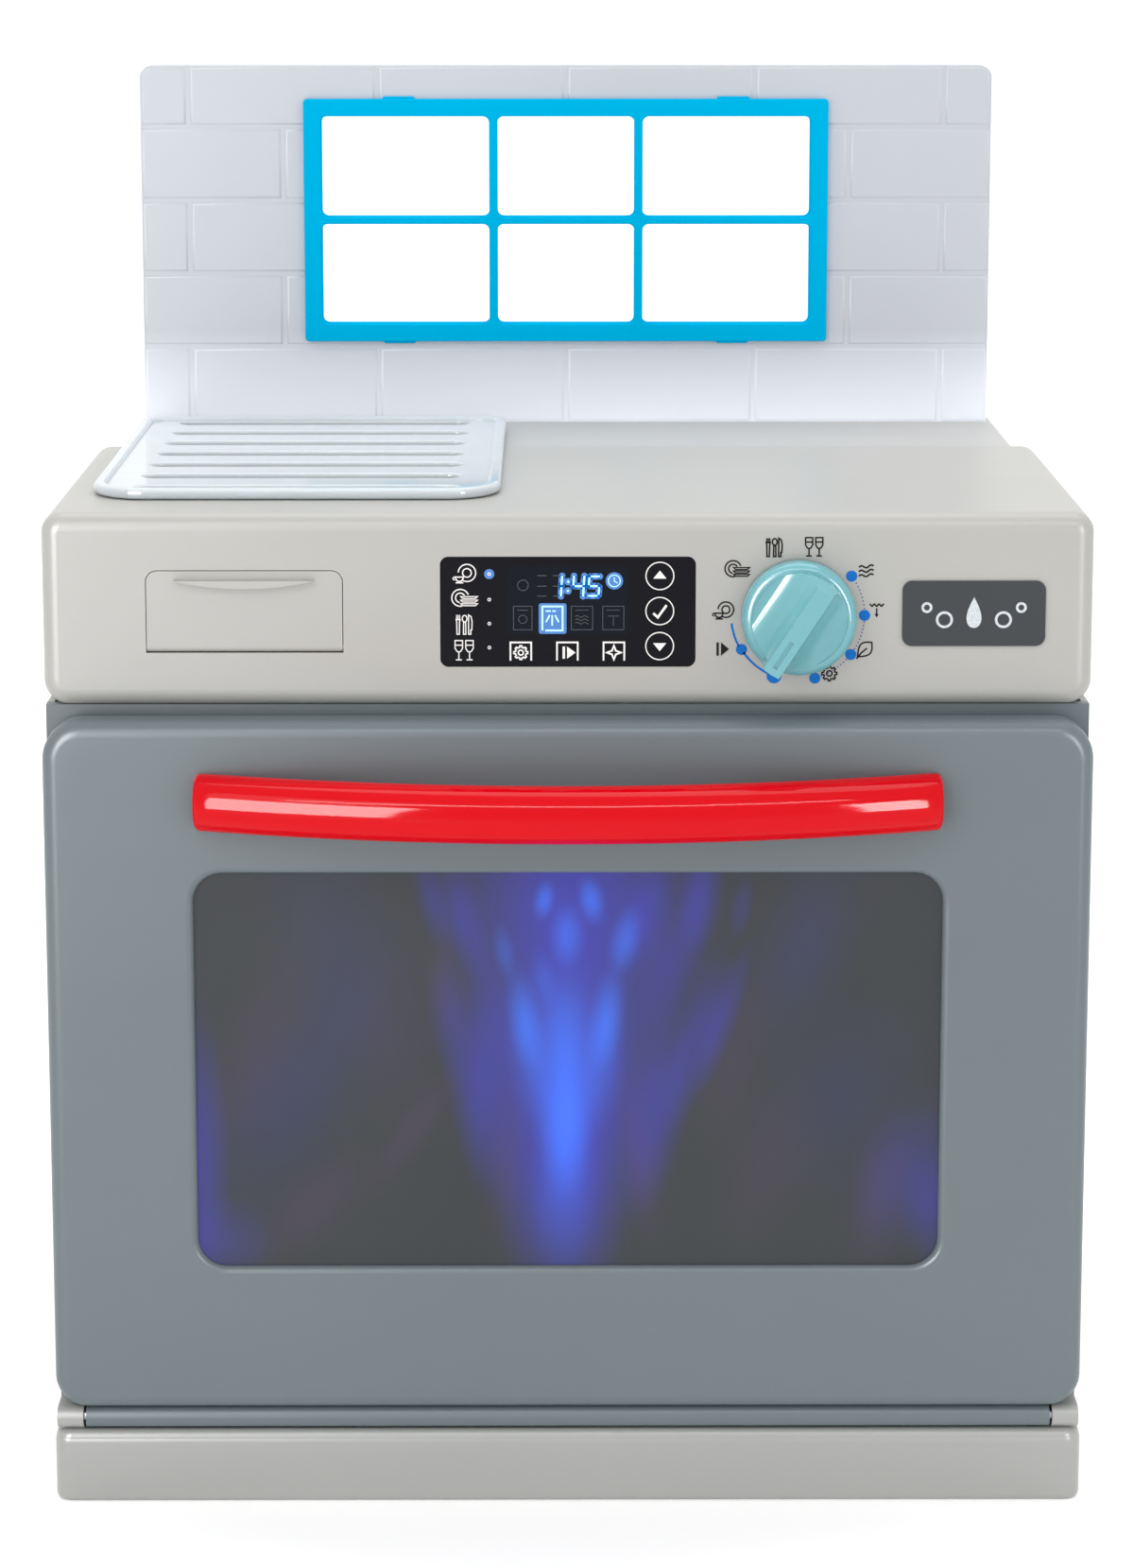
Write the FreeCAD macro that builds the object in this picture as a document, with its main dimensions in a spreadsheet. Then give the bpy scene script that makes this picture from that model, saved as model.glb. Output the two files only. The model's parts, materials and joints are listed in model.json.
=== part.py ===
import FreeCAD, Part
import Sketcher
import math
import os
import re

# A free-standing toy dishwasher with a counter, a tiled back wall with a window, and a drying rack.
# Millimetres.  X runs to the right seen from the front, Y to the back, Z up.  The origin lies on the
# floor, in the middle of the whole width and depth.

Vector = FreeCAD.Vector
Rotation = FreeCAD.Rotation
Placement = FreeCAD.Placement

DIMENSIONS = {
    # The main planes of the cabinet.
    "side_x": 187.5,            # half width of console and base
    "rear_x": 178.5,            # half width of the narrower rear shell
    "reach_y": -151,            # foremost point, the middle of the handle
    "face_y": -106,             # front of the console
    "seam_y": 58,               # where the console ends and the rear shell starts
    "back_y": 151,
    "base_z": 27,               # top of the base
    "sill_z": 295,              # underside of the console
    "counter_z": 364.5,         # top of the console
    "deck_z": 363.5,            # top of the rear shell
    "crown_z": 511.5,           # top of the back wall
    "wall": 2.5,
    "gap": 0.3,
    # Base tray.
    "base_front_y": -118,
    "base_corner": 6,
    "base_edge": 3,
    "base_foot": 2,
    "rear_corner": 4,
    "rib": 2,
    # Door and its hinge, which lies along X.
    "hinge_y": -114,
    "hinge_z": 31.6,
    "knuckle": 4,               # radius of the hinge knuckles
    "pin": 1.8,                 # radius of the hinge pins
    "pin_bore": 1.95,
    "pin_start_x": 162,
    "pin_end_x": 184,
    "strip_x": 176,
    "strip_back_y": -104.5,
    "post_x": 177,
    "post_end_x": 186.5,
    "door_x": 187,
    "door_low_z": 36,
    "door_high_z": 292,
    "door_front_y": -120,
    "door_seam_y": -107,
    "door_back_y": -103,
    "door_low_corner": 12,
    "door_high_corner": 14,
    "door_edge": 5.5,
    "panel_x": 186,
    "panel_high_z": 291,
    "pane_x": 133.8,
    "pane_low_z": 90.4,
    "pane_high_z": 237,
    "pane_corner": 10.5,
    "pane_lap": 6.2,
    "pane_thick": 2,
    "door_screw_x": 165,
    "door_screw_low_z": 52,
    "door_screw_high_z": 276,
    # Handle, a rod bent to a shallow bow.
    "handle_x": 132.6,
    "handle_z": 263.7,
    "handle_rod": 10.25,
    "handle_bow": 444.3,        # radius of the bow
    "handle_screw_x": 116,
    "handle_boss": 5,
    # Front frame, side panels and the lined cavity.
    "frame_x": 187,
    "frame_front_y": -102,
    "frame_back_y": -98,
    "cavity_x": 170,
    "cavity_low_z": 42,
    "cavity_high_z": 283,
    "cavity_corner": 8,
    "cavity_back_y": 146,
    "ceiling_z": 288,
    "ceiling": 3,
    "side_return_y": 54,
    "side_return_x": 178.8,
    "catch_x": 120,
    "catch_z": 287.5,
    # Racks on rails inside the cavity.
    "rack_x": 160,
    "rack_front_y": -83,
    "rack_back_y": 109,
    "rack_mid_y": 13,
    "rack_wall": 3,
    "rack_bar": 3,
    "rack_pitch": 26,
    "rack_slot": 8,
    "rack_comb": 3,
    "rack_row_pitch": 32,
    "low_rack_z": 68,
    "low_rack_high": 40,
    "high_rack_z": 175,
    "high_rack_high": 40,
    "runner_x": 168.5,
    "runner_rise": 18,
    "runner": 3,
    "rail_x": 162,
    "rail_back_y": 120,
    # Console.
    "console_low_corner": 9,
    "console_high_corner": 7,
    "console_edge": 6,
    "console_wall": 3,
    "hatch_x": 172,             # half width of the opening in the console's floor
    # Display, buttons and electronics.
    "lens_x": 45.5,
    "lens_low_z": 309.3,
    "lens_high_z": 349.3,
    "lens_corner": 3,
    "lens_sink": 0.8,
    "lens_lip": 2.5,
    "lens_back_y": -101.8,
    "button_x": 32.7,
    "button_high_z": 342.2,
    "button_mid_z": 329.5,
    "button_low_z": 316.8,
    "button": 5.2,
    "button_hole": 5.5,
    "button_front_y": -105.4,
    "button_collar": 6.2,
    "button_collar_y": -101.4,
    "button_collar_end_y": -100.2,
    "button_stem": 1.6,
    "button_stem_end_y": -94,
    "board_x": 56,
    "board_low_z": 302,
    "board_high_z": 357,
    "board_y": -88,
    "board": 1.6,
    "standoff_x": 52.5,
    "standoff_low_z": 305.5,
    "standoff_high_z": 353.5,
    "standoff": 3,
    "glass_x": 24,
    "glass_low_z": 319.5,
    "glass_high_z": 347,
    "lamp_dot_x": -28,
    # Programme knob.
    "knob_x": 82,
    "knob_z": 328,
    "knob_turn": 33,            # degrees between the pointer and straight down
    "knob": 20.4,
    "knob_core": 17,
    "knob_gap": 0.6,
    "knob_rim": 9,
    "knob_edge": 3.4,
    "knob_high": 22,
    "knob_bar": 3.25,
    "knob_scoop": 13.5,
    "shaft": 3,
    "shaft_bore": 3.15,
    "bush": 4.8,
    "switch_x": 9,
    # Tilting detergent drawer.
    "drawer_x": -115.15,
    "drawer_half": 35.15,       # half width of its opening
    "drawer_low_z": 314.5,
    "drawer_high_z": 344.4,
    "drawer_corner": 4.2,
    "drawer_thick": 3.5,
    "tilt_radius": 1.75,
    "tilt_y": -104.25,
    "tilt_z": 316.55,
    "bin_half": 32,
    "bin": 27,
    "bin_wall": 1.8,
    "bin_pin": 1,
    "bin_pin_bore": 1.15,
    "bin_pin_long": 2.2,
    "lip_half": 25,
    "lip_z": 340.9,
    "lip_bow": 113,
    "lip_sag": 2.8,
    "lip_out": 2.6,
    # Badge.
    "badge_x": 144.5,
    "badge_z": 328.75,
    "badge_half_x": 25.5,
    "badge_half_z": 11.8,
    "badge_corner": 3.5,
    "badge_out": 0.7,
    "badge_sink": 0.8,
    # Back wall with tiles and a window.
    "splash_x": 175.5,
    "splash_y": 135,
    "splash_thick": 12,
    "splash_corner": 5,
    "tile_long": 77.9,
    "tile_high": 30.4,
    "tile_joint": 2.4,
    "tile_joint_deep": 0.8,
    "first_joint_z": 486.4,
    "tab_x": 130,
    "tab_half": 10,
    "tab_long": 10,
    "window_x": 108.2,
    "window_low_z": 397.6,
    "window_high_z": 497.9,
    "window_bar": 7.1,
    "window_out": 3,
    "window_deep": 8,
    "window_corner": 2,
    "window_lap": 2.6,
    "mullion_x": 30,
    "mullion": 3.4,
    "transom_z": 447.8,
    "transom": 2.8,
    "pane_fillet": 3,
    # Drying rack on the counter.
    "dryer_low_x": -174,
    "dryer_high_x": -24.6,
    "dryer_front_y": -75.5,
    "dryer_back_y": 116,
    "dryer_low_z": 364.8,
    "dryer_plate": 2.4,
    "dryer_rim_high": 4,
    "dryer_rim": 5,
    "dryer_front_corner": 20,
    "dryer_back_corner": 12,
    "slot_low_x": -158,
    "slot_high_x": -40,
    "slot_first_y": -63,
    "slot_pitch": 28,
    "slot_half": 5.5,
    # Battery compartment, loudspeaker and power switch in the back.
    "battery_z": 322.5,
    "cell": 7.25,
    "cell_half": 25.2,
    "cell_pitch": 15.5,
    "cell_y": 139.6,
    "tray_x": 33,
    "tray_half_z": 25,
    "tray_wall": 1.8,
    "tray_y": 130,
    "flange_x": 40,
    "flange_half_z": 31.5,
    "cover_x": 36,
    "cover_half_z": 28,
    "cover_corner": 3,
    "speaker_x": -100,
    "speaker": 14,
    "magnet": 9,
    "power_x": 95,
    "power_travel": 5,
    # Fasteners.
    "screw": 1.4,
    "screw_hole": 1.6,
    "screw_head": 3,
    "screw_head_high": 1.6,
    "boss": 4,
    "back_screw_x": 168,
}

document = FreeCAD.newDocument("toy_dishwasher")
sheet = document.addObject("Spreadsheet::Sheet", "sizes")
for row, (alias, value) in enumerate(DIMENSIONS.items(), start=1):
    sheet.set(f"A{row}", alias)
    sheet.set(f"B{row}", str(value))
    sheet.setAlias(f"B{row}", alias)
document.recompute()

gauge = document.addObject("App::FeaturePython", "gauge")
gauge.addProperty("App::PropertyFloat", "reading")

NODES = {}
RACK_COLUMNS = 12           # slots side by side along each rack


# ---------------------------------------------------------------- ways of building

def linked(expression):
    """The expression with each plain dimension name pointing at its cell in the sheet."""
    return re.sub(r"[a-z][a-z_]*", lambda word: "sizes." + word[0], str(expression))


def measure(expression):
    """The present value of an expression in the sheet's dimensions."""
    gauge.setExpression("reading", linked(expression))
    gauge.recompute()
    return gauge.reading


def spot(thing, x=None, y=None, z=None):
    """Bind the place of a thing to the sheet."""
    for axis, expression in zip("xyz", (x, y, z)):
        if expression is not None:
            thing.setExpression(f".Placement.Base.{axis}", linked(expression))
    return thing


def block(name, x, y, z):
    """A box between a low and a high expression along each axis."""
    box = document.addObject("Part::Box", name)
    for size, (low, high) in zip(("Length", "Width", "Height"), (x, y, z)):
        box.setExpression(size, linked(f"({high}) - ({low})"))
    return spot(box, x[0], y[0], z[0])


def rod(name, axis, radius, span, x=0, y=0, z=0):
    """A cylinder along an axis, between the two expressions of its span."""
    turns = {
        "x": Rotation(Vector(0, 1, 0), 90),
        "y": Rotation(Vector(1, 0, 0), -90),
        "z": Rotation(),
    }
    cylinder = document.addObject("Part::Cylinder", name)
    cylinder.Placement = Placement(Vector(), turns[axis])
    cylinder.setExpression("Radius", linked(radius))
    cylinder.setExpression("Height", linked(f"({span[1]}) - ({span[0]})"))
    place = {"x": x, "y": y, "z": z}
    place[axis] = span[0]
    return spot(cylinder, **place)


def join(name, *things):
    """Things that are moulded as one."""
    result = document.addObject("Part::MultiFuse", name)
    result.Shapes = list(things)
    result.Refine = True
    return result


def cut(name, base, *tools):
    """The base less all the tools."""
    result = document.addObject("Part::Cut", name)
    result.Base = base
    result.Tool = tools[0] if len(tools) == 1 else gather(name + "_tools", *tools)
    return result


def common(name, first, second):
    """What two things share."""
    result = document.addObject("Part::Common", name)
    result.Base = first
    result.Tool = second
    return result


def gather(name, *things):
    """Separate solids kept in one group."""
    result = document.addObject("Part::Compound", name)
    result.Links = list(things)
    return result


def mirrored(name, source):
    """The same piece on the other side of the middle plane."""
    result = document.addObject("Part::Mirroring", name)
    result.Source = source
    result.Normal = Vector(1, 0, 0)
    return result


def node(name, thing):
    """Name a finished sub-part, which is written to a file of that name."""
    thing.Label = name
    NODES[name] = thing
    return thing


def origin_plane(body, role):
    """One of a body's own origin planes."""
    return next(item for item in body.Origin.OriginFeatures if item.Role == role)


def rounded_outline(sketch, u, v, corners):
    """Draw a rectangle whose low and high corners have their own radii, or none."""
    u_low, u_high = (measure(edge) for edge in u)
    v_low, v_high = (measure(edge) for edge in v)
    low, high = (measure(corner) if corner else 0 for corner in corners)
    sides = (
        ((u_low + low, v_low), (u_high - low, v_low)),
        ((u_high, v_low + low), (u_high, v_high - high)),
        ((u_high - high, v_high), (u_low + high, v_high)),
        ((u_low, v_high - high), (u_low, v_low + low)),
    )
    turns = (
        (u_high - low, v_low + low, low),
        (u_high - high, v_high - high, high),
        (u_low + high, v_high - high, high),
        (u_low + low, v_low + low, low),
    )
    chain = []
    lines = []
    arcs = []
    for index, ((start, end), (centre_u, centre_v, radius)) in enumerate(zip(sides, turns)):
        line = Part.LineSegment(Vector(*start, 0), Vector(*end, 0))
        lines.append(sketch.addGeometry(line, False))
        chain.append(lines[-1])
        arcs.append(None)
        if radius:
            circle = Part.Circle(Vector(centre_u, centre_v, 0), Vector(0, 0, 1), radius)
            start_angle = math.radians(90 * index - 90)
            arc = Part.ArcOfCircle(circle, start_angle, start_angle + math.pi / 2)
            arcs[-1] = sketch.addGeometry(arc, False)
            chain.append(arcs[-1])

    def constrain(*terms, expression=None):
        number = sketch.addConstraint(Sketcher.Constraint(*terms))
        if expression is not None:
            sketch.setExpression(f"Constraints[{number}]", linked(expression))

    for first, second in zip(chain, chain[1:] + chain[:1]):
        meets = "Coincident" if first in lines and second in lines else "Tangent"
        constrain(meets, first, 2, second, 1)
    for index, line in enumerate(lines):
        constrain("Horizontal" if index % 2 == 0 else "Vertical", line)
    constrain("DistanceY", -1, 1, lines[0], 1, v_low, expression=v[0])
    constrain("DistanceX", -1, 1, lines[1], 1, u_high, expression=u[1])
    constrain("DistanceY", -1, 1, lines[2], 1, v_high, expression=v[1])
    constrain("DistanceX", -1, 1, lines[3], 1, u_low, expression=u[0])
    for index, corner in enumerate((corners[0], corners[1], corners[1], corners[0])):
        if corner:
            constrain("Radius", arcs[index], turns[index][2], expression=corner)


def slab(name, x, y, z, corners, across="y"):
    """A padded rounded rectangle that lies across Y or Z.  Corners are its low and high radii."""
    body = document.addObject("PartDesign::Body", name)
    sketch = body.newObject("Sketcher::SketchObject", name + "_outline")
    role, v, depth = ("XZ_Plane", z, y) if across == "y" else ("XY_Plane", y, z)
    sketch.AttachmentSupport = [(origin_plane(body, role), "")]
    sketch.MapMode = "FlatFace"
    outward = "-1 * " if across == "y" else ""
    sketch.setExpression("AttachmentOffset.Base.z", linked(f"{outward}({depth[0]})"))
    rounded_outline(sketch, x, v, corners)
    pad = body.newObject("PartDesign::Pad", name + "_pad")
    pad.Profile = sketch
    pad.Reversed = across == "y"
    pad.setExpression("Length", linked(f"({depth[1]}) - ({depth[0]})"))
    return body


def soften(body, radius, axis, level, leave=None):
    """Round the edges of a body that lie in one plane, leaving those in a second plane sharp."""
    document.recompute()
    feature = body.Tip

    def lies_in(edge, direction, height):
        box = edge.BoundBox
        low = getattr(box, direction.upper() + "Min")
        high = getattr(box, direction.upper() + "Max")
        return abs(low - height) < 1e-4 and abs(high - height) < 1e-4

    names = []
    for number, edge in enumerate(feature.Shape.Edges, start=1):
        if not lies_in(edge, axis, measure(level)):
            continue
        if leave and lies_in(edge, leave[0], measure(leave[1])):
            continue
        names.append(f"Edge{number}")
    fillet = body.newObject("PartDesign::Fillet", body.Name + "_fillet")
    fillet.Base = (feature, names)
    fillet.setExpression("Radius", linked(radius))
    return body


def screw(name, tip_y, seat_y, x, z, shank="screw", head="screw_head"):
    """A screw along Y: its shank runs from the tip to the seat, and its head lies past the seat."""
    forwards = measure(seat_y) > measure(tip_y)
    end_y = f"({seat_y}) {'+' if forwards else '-'} screw_head_high"
    shank_span = (tip_y, seat_y) if forwards else (seat_y, tip_y)
    head_span = (seat_y, end_y) if forwards else (end_y, seat_y)
    stem = rod(name + "_shank", "y", shank, shank_span, x=x, z=z)
    cap = rod(name + "_head", "y", head, head_span, x=x, z=z)
    return join(name, stem, cap)


def both_sides(x):
    """The same distance to the left and to the right of the middle."""
    return (f"-1 * ({x})", x)


# ---------------------------------------------------------------- base and cabinet

def underside_pockets(name, half_x, low_y, high_y, rows):
    """Square cells in the underside of the base, with ribs between them and one rib on the middle."""
    columns = 8
    cells = []
    for column in range(columns):
        for line in range(rows):
            pitch_x = f"2 * ({half_x}) / {columns}"
            pitch_y = f"(({high_y}) - ({low_y})) / {rows}"
            left = f"{column} * {pitch_x} - ({half_x})"
            front = f"({low_y}) + {line} * {pitch_y}"
            cells.append(block(
                f"{name}_{column}_{line}",
                (f"{left} + rib / 2", f"{left} + {pitch_x} - rib / 2"),
                (f"{front} + rib / 2", f"{front} + {pitch_y} - rib / 2"),
                (-1, "base_z - wall"),
            ))
    return gather(name, *cells)


def make_base():
    front = slab("base_front", both_sides("side_x"), ("base_front_y", "seam_y"), (0, "base_z"),
                 ("base_corner", None), across="z")
    soften(front, "base_edge", "z", "base_z", leave=("y", "seam_y"))
    soften(front, "base_foot", "z", "0", leave=("y", "seam_y"))
    rear = slab("base_rear", both_sides("rear_x"), ("seam_y - 1", "back_y"), (0, "base_z"),
                (None, "rear_corner"), across="z")
    posts = []
    for side, (low, high) in {
        "left": ("-1 * post_end_x", "-1 * post_x"),
        "right": ("post_x", "post_end_x"),
    }.items():
        posts.append(block(f"{side}_post_block", (low, high), ("hinge_y", "frame_front_y"),
                           ("base_z - 1", "hinge_z + knuckle")))
        posts.append(rod(f"{side}_post_nose", "x", "knuckle", (low, high), y="hinge_y", z="hinge_z"))
    solid = join("base_solid", front, rear, *posts)
    tray = cut(
        "base_tray_cut", solid,
        underside_pockets("front_cells", "side_x - wall", "base_front_y + wall", "seam_y - rib", 4),
        underside_pockets("rear_cells", "rear_x - wall", "seam_y", "back_y - wall", 2),
        rod("pin_seats", "x", "pin", both_sides("pin_end_x"), y="hinge_y", z="hinge_z"),
    )
    node("base_tray", tray)


def make_frame_and_panels():
    plate = slab("frame_plate", both_sides("frame_x"), ("frame_front_y", "frame_back_y"),
                 ("base_z", "sill_z"), (None, None))
    hole = slab("frame_hole", both_sides("cavity_x"), ("frame_front_y - 1", "frame_back_y + 1"),
                ("cavity_low_z", "cavity_high_z"), ("cavity_corner", "cavity_corner"))
    node("front_frame", cut("front_frame_cut", plate, hole))

    skin = block("side_skin", ("frame_x - wall", "frame_x"), ("frame_back_y", "side_return_y"),
                 ("base_z", "sill_z"))
    lip = block("side_return", ("side_return_x", "frame_x"), ("side_return_y", "seam_y - gap"),
                ("base_z", "sill_z"))
    right = node("right_side_panel", join("right_panel_join", skin, lip))
    node("left_side_panel", mirrored("left_panel_mirror", right))


def make_liners():
    """The side walls of the cavity, with a channel of two rails for each rack."""
    pieces = [block("liner_skin", ("cavity_x", "cavity_x + wall"), ("frame_back_y", "cavity_back_y"),
                    ("base_z", "ceiling_z"))]
    for rack in ("low_rack_z", "high_rack_z"):
        under = f"{rack} + runner_rise - 2 * gap"
        over = f"{rack} + runner_rise + runner + 2 * gap"
        for name, low, high in (
            ("under", f"{under} - runner", under),
            ("over", over, f"{over} + runner"),
        ):
            pieces.append(block(f"{rack}_{name}_rail", ("rail_x", "cavity_x"),
                                ("frame_back_y", "rail_back_y"), (low, high)))
    bores = []
    for number, height in enumerate(("base_z + 35", "base_z + 130", "ceiling_z - 25")):
        pieces.append(rod(f"liner_boss_{number}", "y", "boss", ("back_y - wall - 26", "back_y - wall"),
                          x="back_screw_x", z=height))
        bores.append(rod(f"liner_bore_{number}", "y", "screw", ("back_y - 24", "back_y"),
                         x="back_screw_x", z=height))
    right = node("right_liner", cut("right_liner_cut", join("liner_join", *pieces), *bores))
    node("left_liner", mirrored("left_liner_mirror", right))


def make_ceiling_and_lamp():
    plate = block("ceiling_plate", both_sides("cavity_x + wall"), ("frame_back_y", "cavity_back_y"),
                  ("ceiling_z", "ceiling_z + ceiling"))
    lamp_y = "face_y + 126"
    hole = rod("ceiling_hole", "z", "boss + gap", ("ceiling_z - 1", "ceiling_z + ceiling + 1"), y=lamp_y)
    node("cavity_ceiling", cut("cavity_ceiling_cut", plate, hole))

    cones = []
    for name, shift in (("outer", 0), ("inner", -1.5)):
        cone = document.addObject("Part::Cone", f"reflector_{name}")
        cone.setExpression("Radius1", linked(f"4 * boss + {shift}"))
        cone.setExpression("Radius2", linked(f"2.6 * boss + {shift}"))
        cone.setExpression("Height", linked("2 * ceiling"))
        cones.append(spot(cone, y=lamp_y, z="ceiling_z - 2 * ceiling"))
    node("lamp_reflector", cut("lamp_reflector_cut", cones[0], cones[1]))

    stem = rod("lamp_stem", "z", "boss", ("ceiling_z - 3", "ceiling_z + 6"), y=lamp_y)
    dome = document.addObject("Part::Sphere", "lamp_dome")
    dome.setExpression("Radius", linked("boss"))
    spot(dome, y=lamp_y, z="ceiling_z - 3")
    rim = rod("lamp_rim", "z", "boss + 1.5", ("ceiling_z + ceiling", "ceiling_z + ceiling + 1.5"), y=lamp_y)
    node("cavity_lamp", join("cavity_lamp_join", stem, dome, rim))


def make_catches():
    """Two snap catches that reach from the frame into notches in the door."""
    hooks = []
    for side in (-1, 1):
        arm = block(f"catch_arm_{side + 1}", (f"{side} * catch_x - 4", f"{side} * catch_x + 4"),
                    ("door_seam_y + 1", "frame_front_y"), ("catch_z - 2", "catch_z + 1"))
        tip = rod(f"catch_tip_{side + 1}", "x", 1, (f"{side} * catch_x - 4", f"{side} * catch_x + 4"),
                  y="door_seam_y + 2", z="catch_z + 0.7")
        hooks.append(join(f"catch_{side + 1}", arm, tip))
    node("door_catches", gather("door_catch_pair", *hooks))


# ---------------------------------------------------------------- door

def screw_places(across, low, high):
    """The four corners of a symmetric pattern of screws."""
    return [(f"{side} * {across}", height) for side in (-1, 1) for height in (low, high)]


def make_door_outer():
    skin = slab("door_skin", both_sides("door_x"), ("door_front_y", "door_seam_y"),
                ("door_low_z", "door_high_z"), ("door_low_corner", "door_high_corner"))
    soften(skin, "door_edge", "y", "door_front_y")
    hollow = slab("door_hollow", both_sides("door_x - wall"), ("door_front_y + wall", "door_seam_y + 1"),
                  ("door_low_z + wall", "door_high_z - wall"),
                  ("door_low_corner - wall", "door_high_corner - wall"))
    opening = slab("door_opening", both_sides("pane_x"), ("door_front_y - 1", "door_front_y + 2 * wall"),
                   ("pane_low_z", "pane_high_z"), ("pane_corner", "pane_corner"))
    bosses = []
    bores = []
    for number, (x, z) in enumerate(screw_places("door_screw_x", "door_screw_low_z", "door_screw_high_z")):
        bosses.append(rod(f"door_boss_{number}", "y", "boss", ("door_front_y + wall - 0.5", "door_seam_y"),
                          x=x, z=z))
        bores.append(rod(f"door_bore_{number}", "y", "screw", ("door_front_y + wall + 1", "door_seam_y + 1"),
                         x=x, z=z))
    for side in (-1, 1):
        bores.append(rod(f"handle_hole_{side + 1}", "y", "handle_boss",
                         ("door_front_y - 1", "door_front_y + 2 * wall"),
                         x=f"{side} * handle_screw_x", z="handle_z"))
    shell = cut("door_shell", skin, hollow, opening)
    node("door_outer", cut("door_outer_cut", join("door_bossed", shell, *bosses), *bores))


def make_door_inner():
    panel = slab("inner_panel", both_sides("panel_x"), ("door_seam_y", "door_back_y"),
                 ("door_low_z", "panel_high_z"), ("door_low_corner", "door_high_corner - 1"))
    strip = block("hinge_strip", both_sides("strip_x"), ("hinge_y", "strip_back_y"),
                  ("hinge_z - knuckle", "door_low_z - gap"))
    web = block("hinge_web", both_sides("strip_x - 8"), ("door_seam_y", "strip_back_y"),
                ("door_low_z - 1", "door_low_z + 4"))
    knuckle = rod("hinge_knuckle", "x", "knuckle", both_sides("strip_x"), y="hinge_y", z="hinge_z")
    opening = slab("inner_opening", both_sides("pane_x"), ("door_seam_y - 1", "door_back_y + 1"),
                   ("pane_low_z", "pane_high_z"), ("pane_corner", "pane_corner"))
    tools = [opening]
    for side in (-1, 1):
        tools.append(block(f"catch_notch_{side + 1}", (f"{side} * catch_x - 6", f"{side} * catch_x + 6"),
                           ("door_seam_y - 1", "door_back_y + 1"), ("catch_z - 3.5", "catch_z + 2.5")))
        tools.append(rod(f"pin_bore_{side + 1}", "x", "pin_bore",
                         (f"{side} * (pin_start_x + strip_x + 2) / 2 - (strip_x + 2 - pin_start_x) / 2",
                          f"{side} * (pin_start_x + strip_x + 2) / 2 + (strip_x + 2 - pin_start_x) / 2"),
                         y="hinge_y", z="hinge_z"))
    for number, (x, z) in enumerate(screw_places("door_screw_x", "door_screw_low_z", "door_screw_high_z")):
        tools.append(rod(f"panel_hole_{number}", "y", "screw_hole", ("door_seam_y - 1", "door_back_y + 1"),
                         x=x, z=z))
        tools.append(rod(f"panel_sink_{number}", "y", "screw_head",
                         ("door_back_y - screw_head_high", "door_back_y + 1"), x=x, z=z))
    node("door_inner", cut("door_inner_cut", join("inner_join", panel, strip, web, knuckle), *tools))


def make_door_window():
    lap = slab("window_lap_plate", both_sides("pane_x + pane_lap"),
               ("door_front_y + wall", "door_front_y + wall + pane_thick"),
               ("pane_low_z - pane_lap", "pane_high_z + pane_lap"),
               ("pane_corner + pane_lap / 2", "pane_corner + pane_lap / 2"))
    node("door_window", lap)


def make_handle():
    """A round rod bent to a bow, cut flush with the door's face, with a screwed boss at each end."""
    bow = document.addObject("Part::Torus", "handle_bow_ring")
    sweep = 2 * math.degrees(math.asin((DIMENSIONS["handle_x"] + 8) / DIMENSIONS["handle_bow"]))
    bow.setExpression("Radius1", linked("handle_bow"))
    bow.setExpression("Radius2", linked("handle_rod"))
    bow.Angle3 = sweep
    bow.Placement = Placement(Vector(), Rotation(Vector(0, 0, 1), -90 - sweep / 2))
    spot(bow, y="reach_y + handle_rod + handle_bow", z="handle_z")
    front = block("handle_front", both_sides("handle_x"), ("reach_y - 5", "door_front_y"),
                  ("handle_z - 20", "handle_z + 20"))
    bar = common("handle_bar", bow, front)
    bosses = []
    bores = []
    for side in (-1, 1):
        x = f"{side} * handle_screw_x"
        bosses.append(rod(f"handle_boss_{side + 1}", "y", "handle_boss - gap / 3",
                          ("door_front_y - 3", "door_front_y + wall"), x=x, z="handle_z"))
        bores.append(rod(f"handle_bore_{side + 1}", "y", "screw",
                         ("door_front_y - 9", "door_front_y + wall + 1"), x=x, z="handle_z"))
    node("door_handle", cut("door_handle_cut", join("handle_join", bar, *bosses), *bores))


def make_door_hardware():
    screws = [screw(f"door_screw_{number}", "door_front_y + wall + 2", "door_back_y - screw_head_high", x, z)
              for number, (x, z) in enumerate(
                  screw_places("door_screw_x", "door_screw_low_z", "door_screw_high_z"))]
    node("door_screws", gather("door_screw_set", *screws))
    screws = [screw(f"handle_screw_{side + 1}", "door_front_y - 8", "door_front_y + wall",
                    f"{side} * handle_screw_x", "handle_z", head="handle_boss + 1")
              for side in (-1, 1)]
    node("handle_screws", gather("handle_screw_set", *screws))
    middle = "(pin_start_x + 1 + pin_end_x) / 2"
    half = "(pin_end_x - pin_start_x - 1) / 2"
    pins = [rod(f"hinge_pin_{side + 1}", "x", "pin",
                (f"{side} * {middle} - {half}", f"{side} * {middle} + {half}"), y="hinge_y", z="hinge_z")
            for side in (-1, 1)]
    node("hinge_pins", gather("hinge_pin_pair", *pins))


# ---------------------------------------------------------------- racks in the cavity

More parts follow.
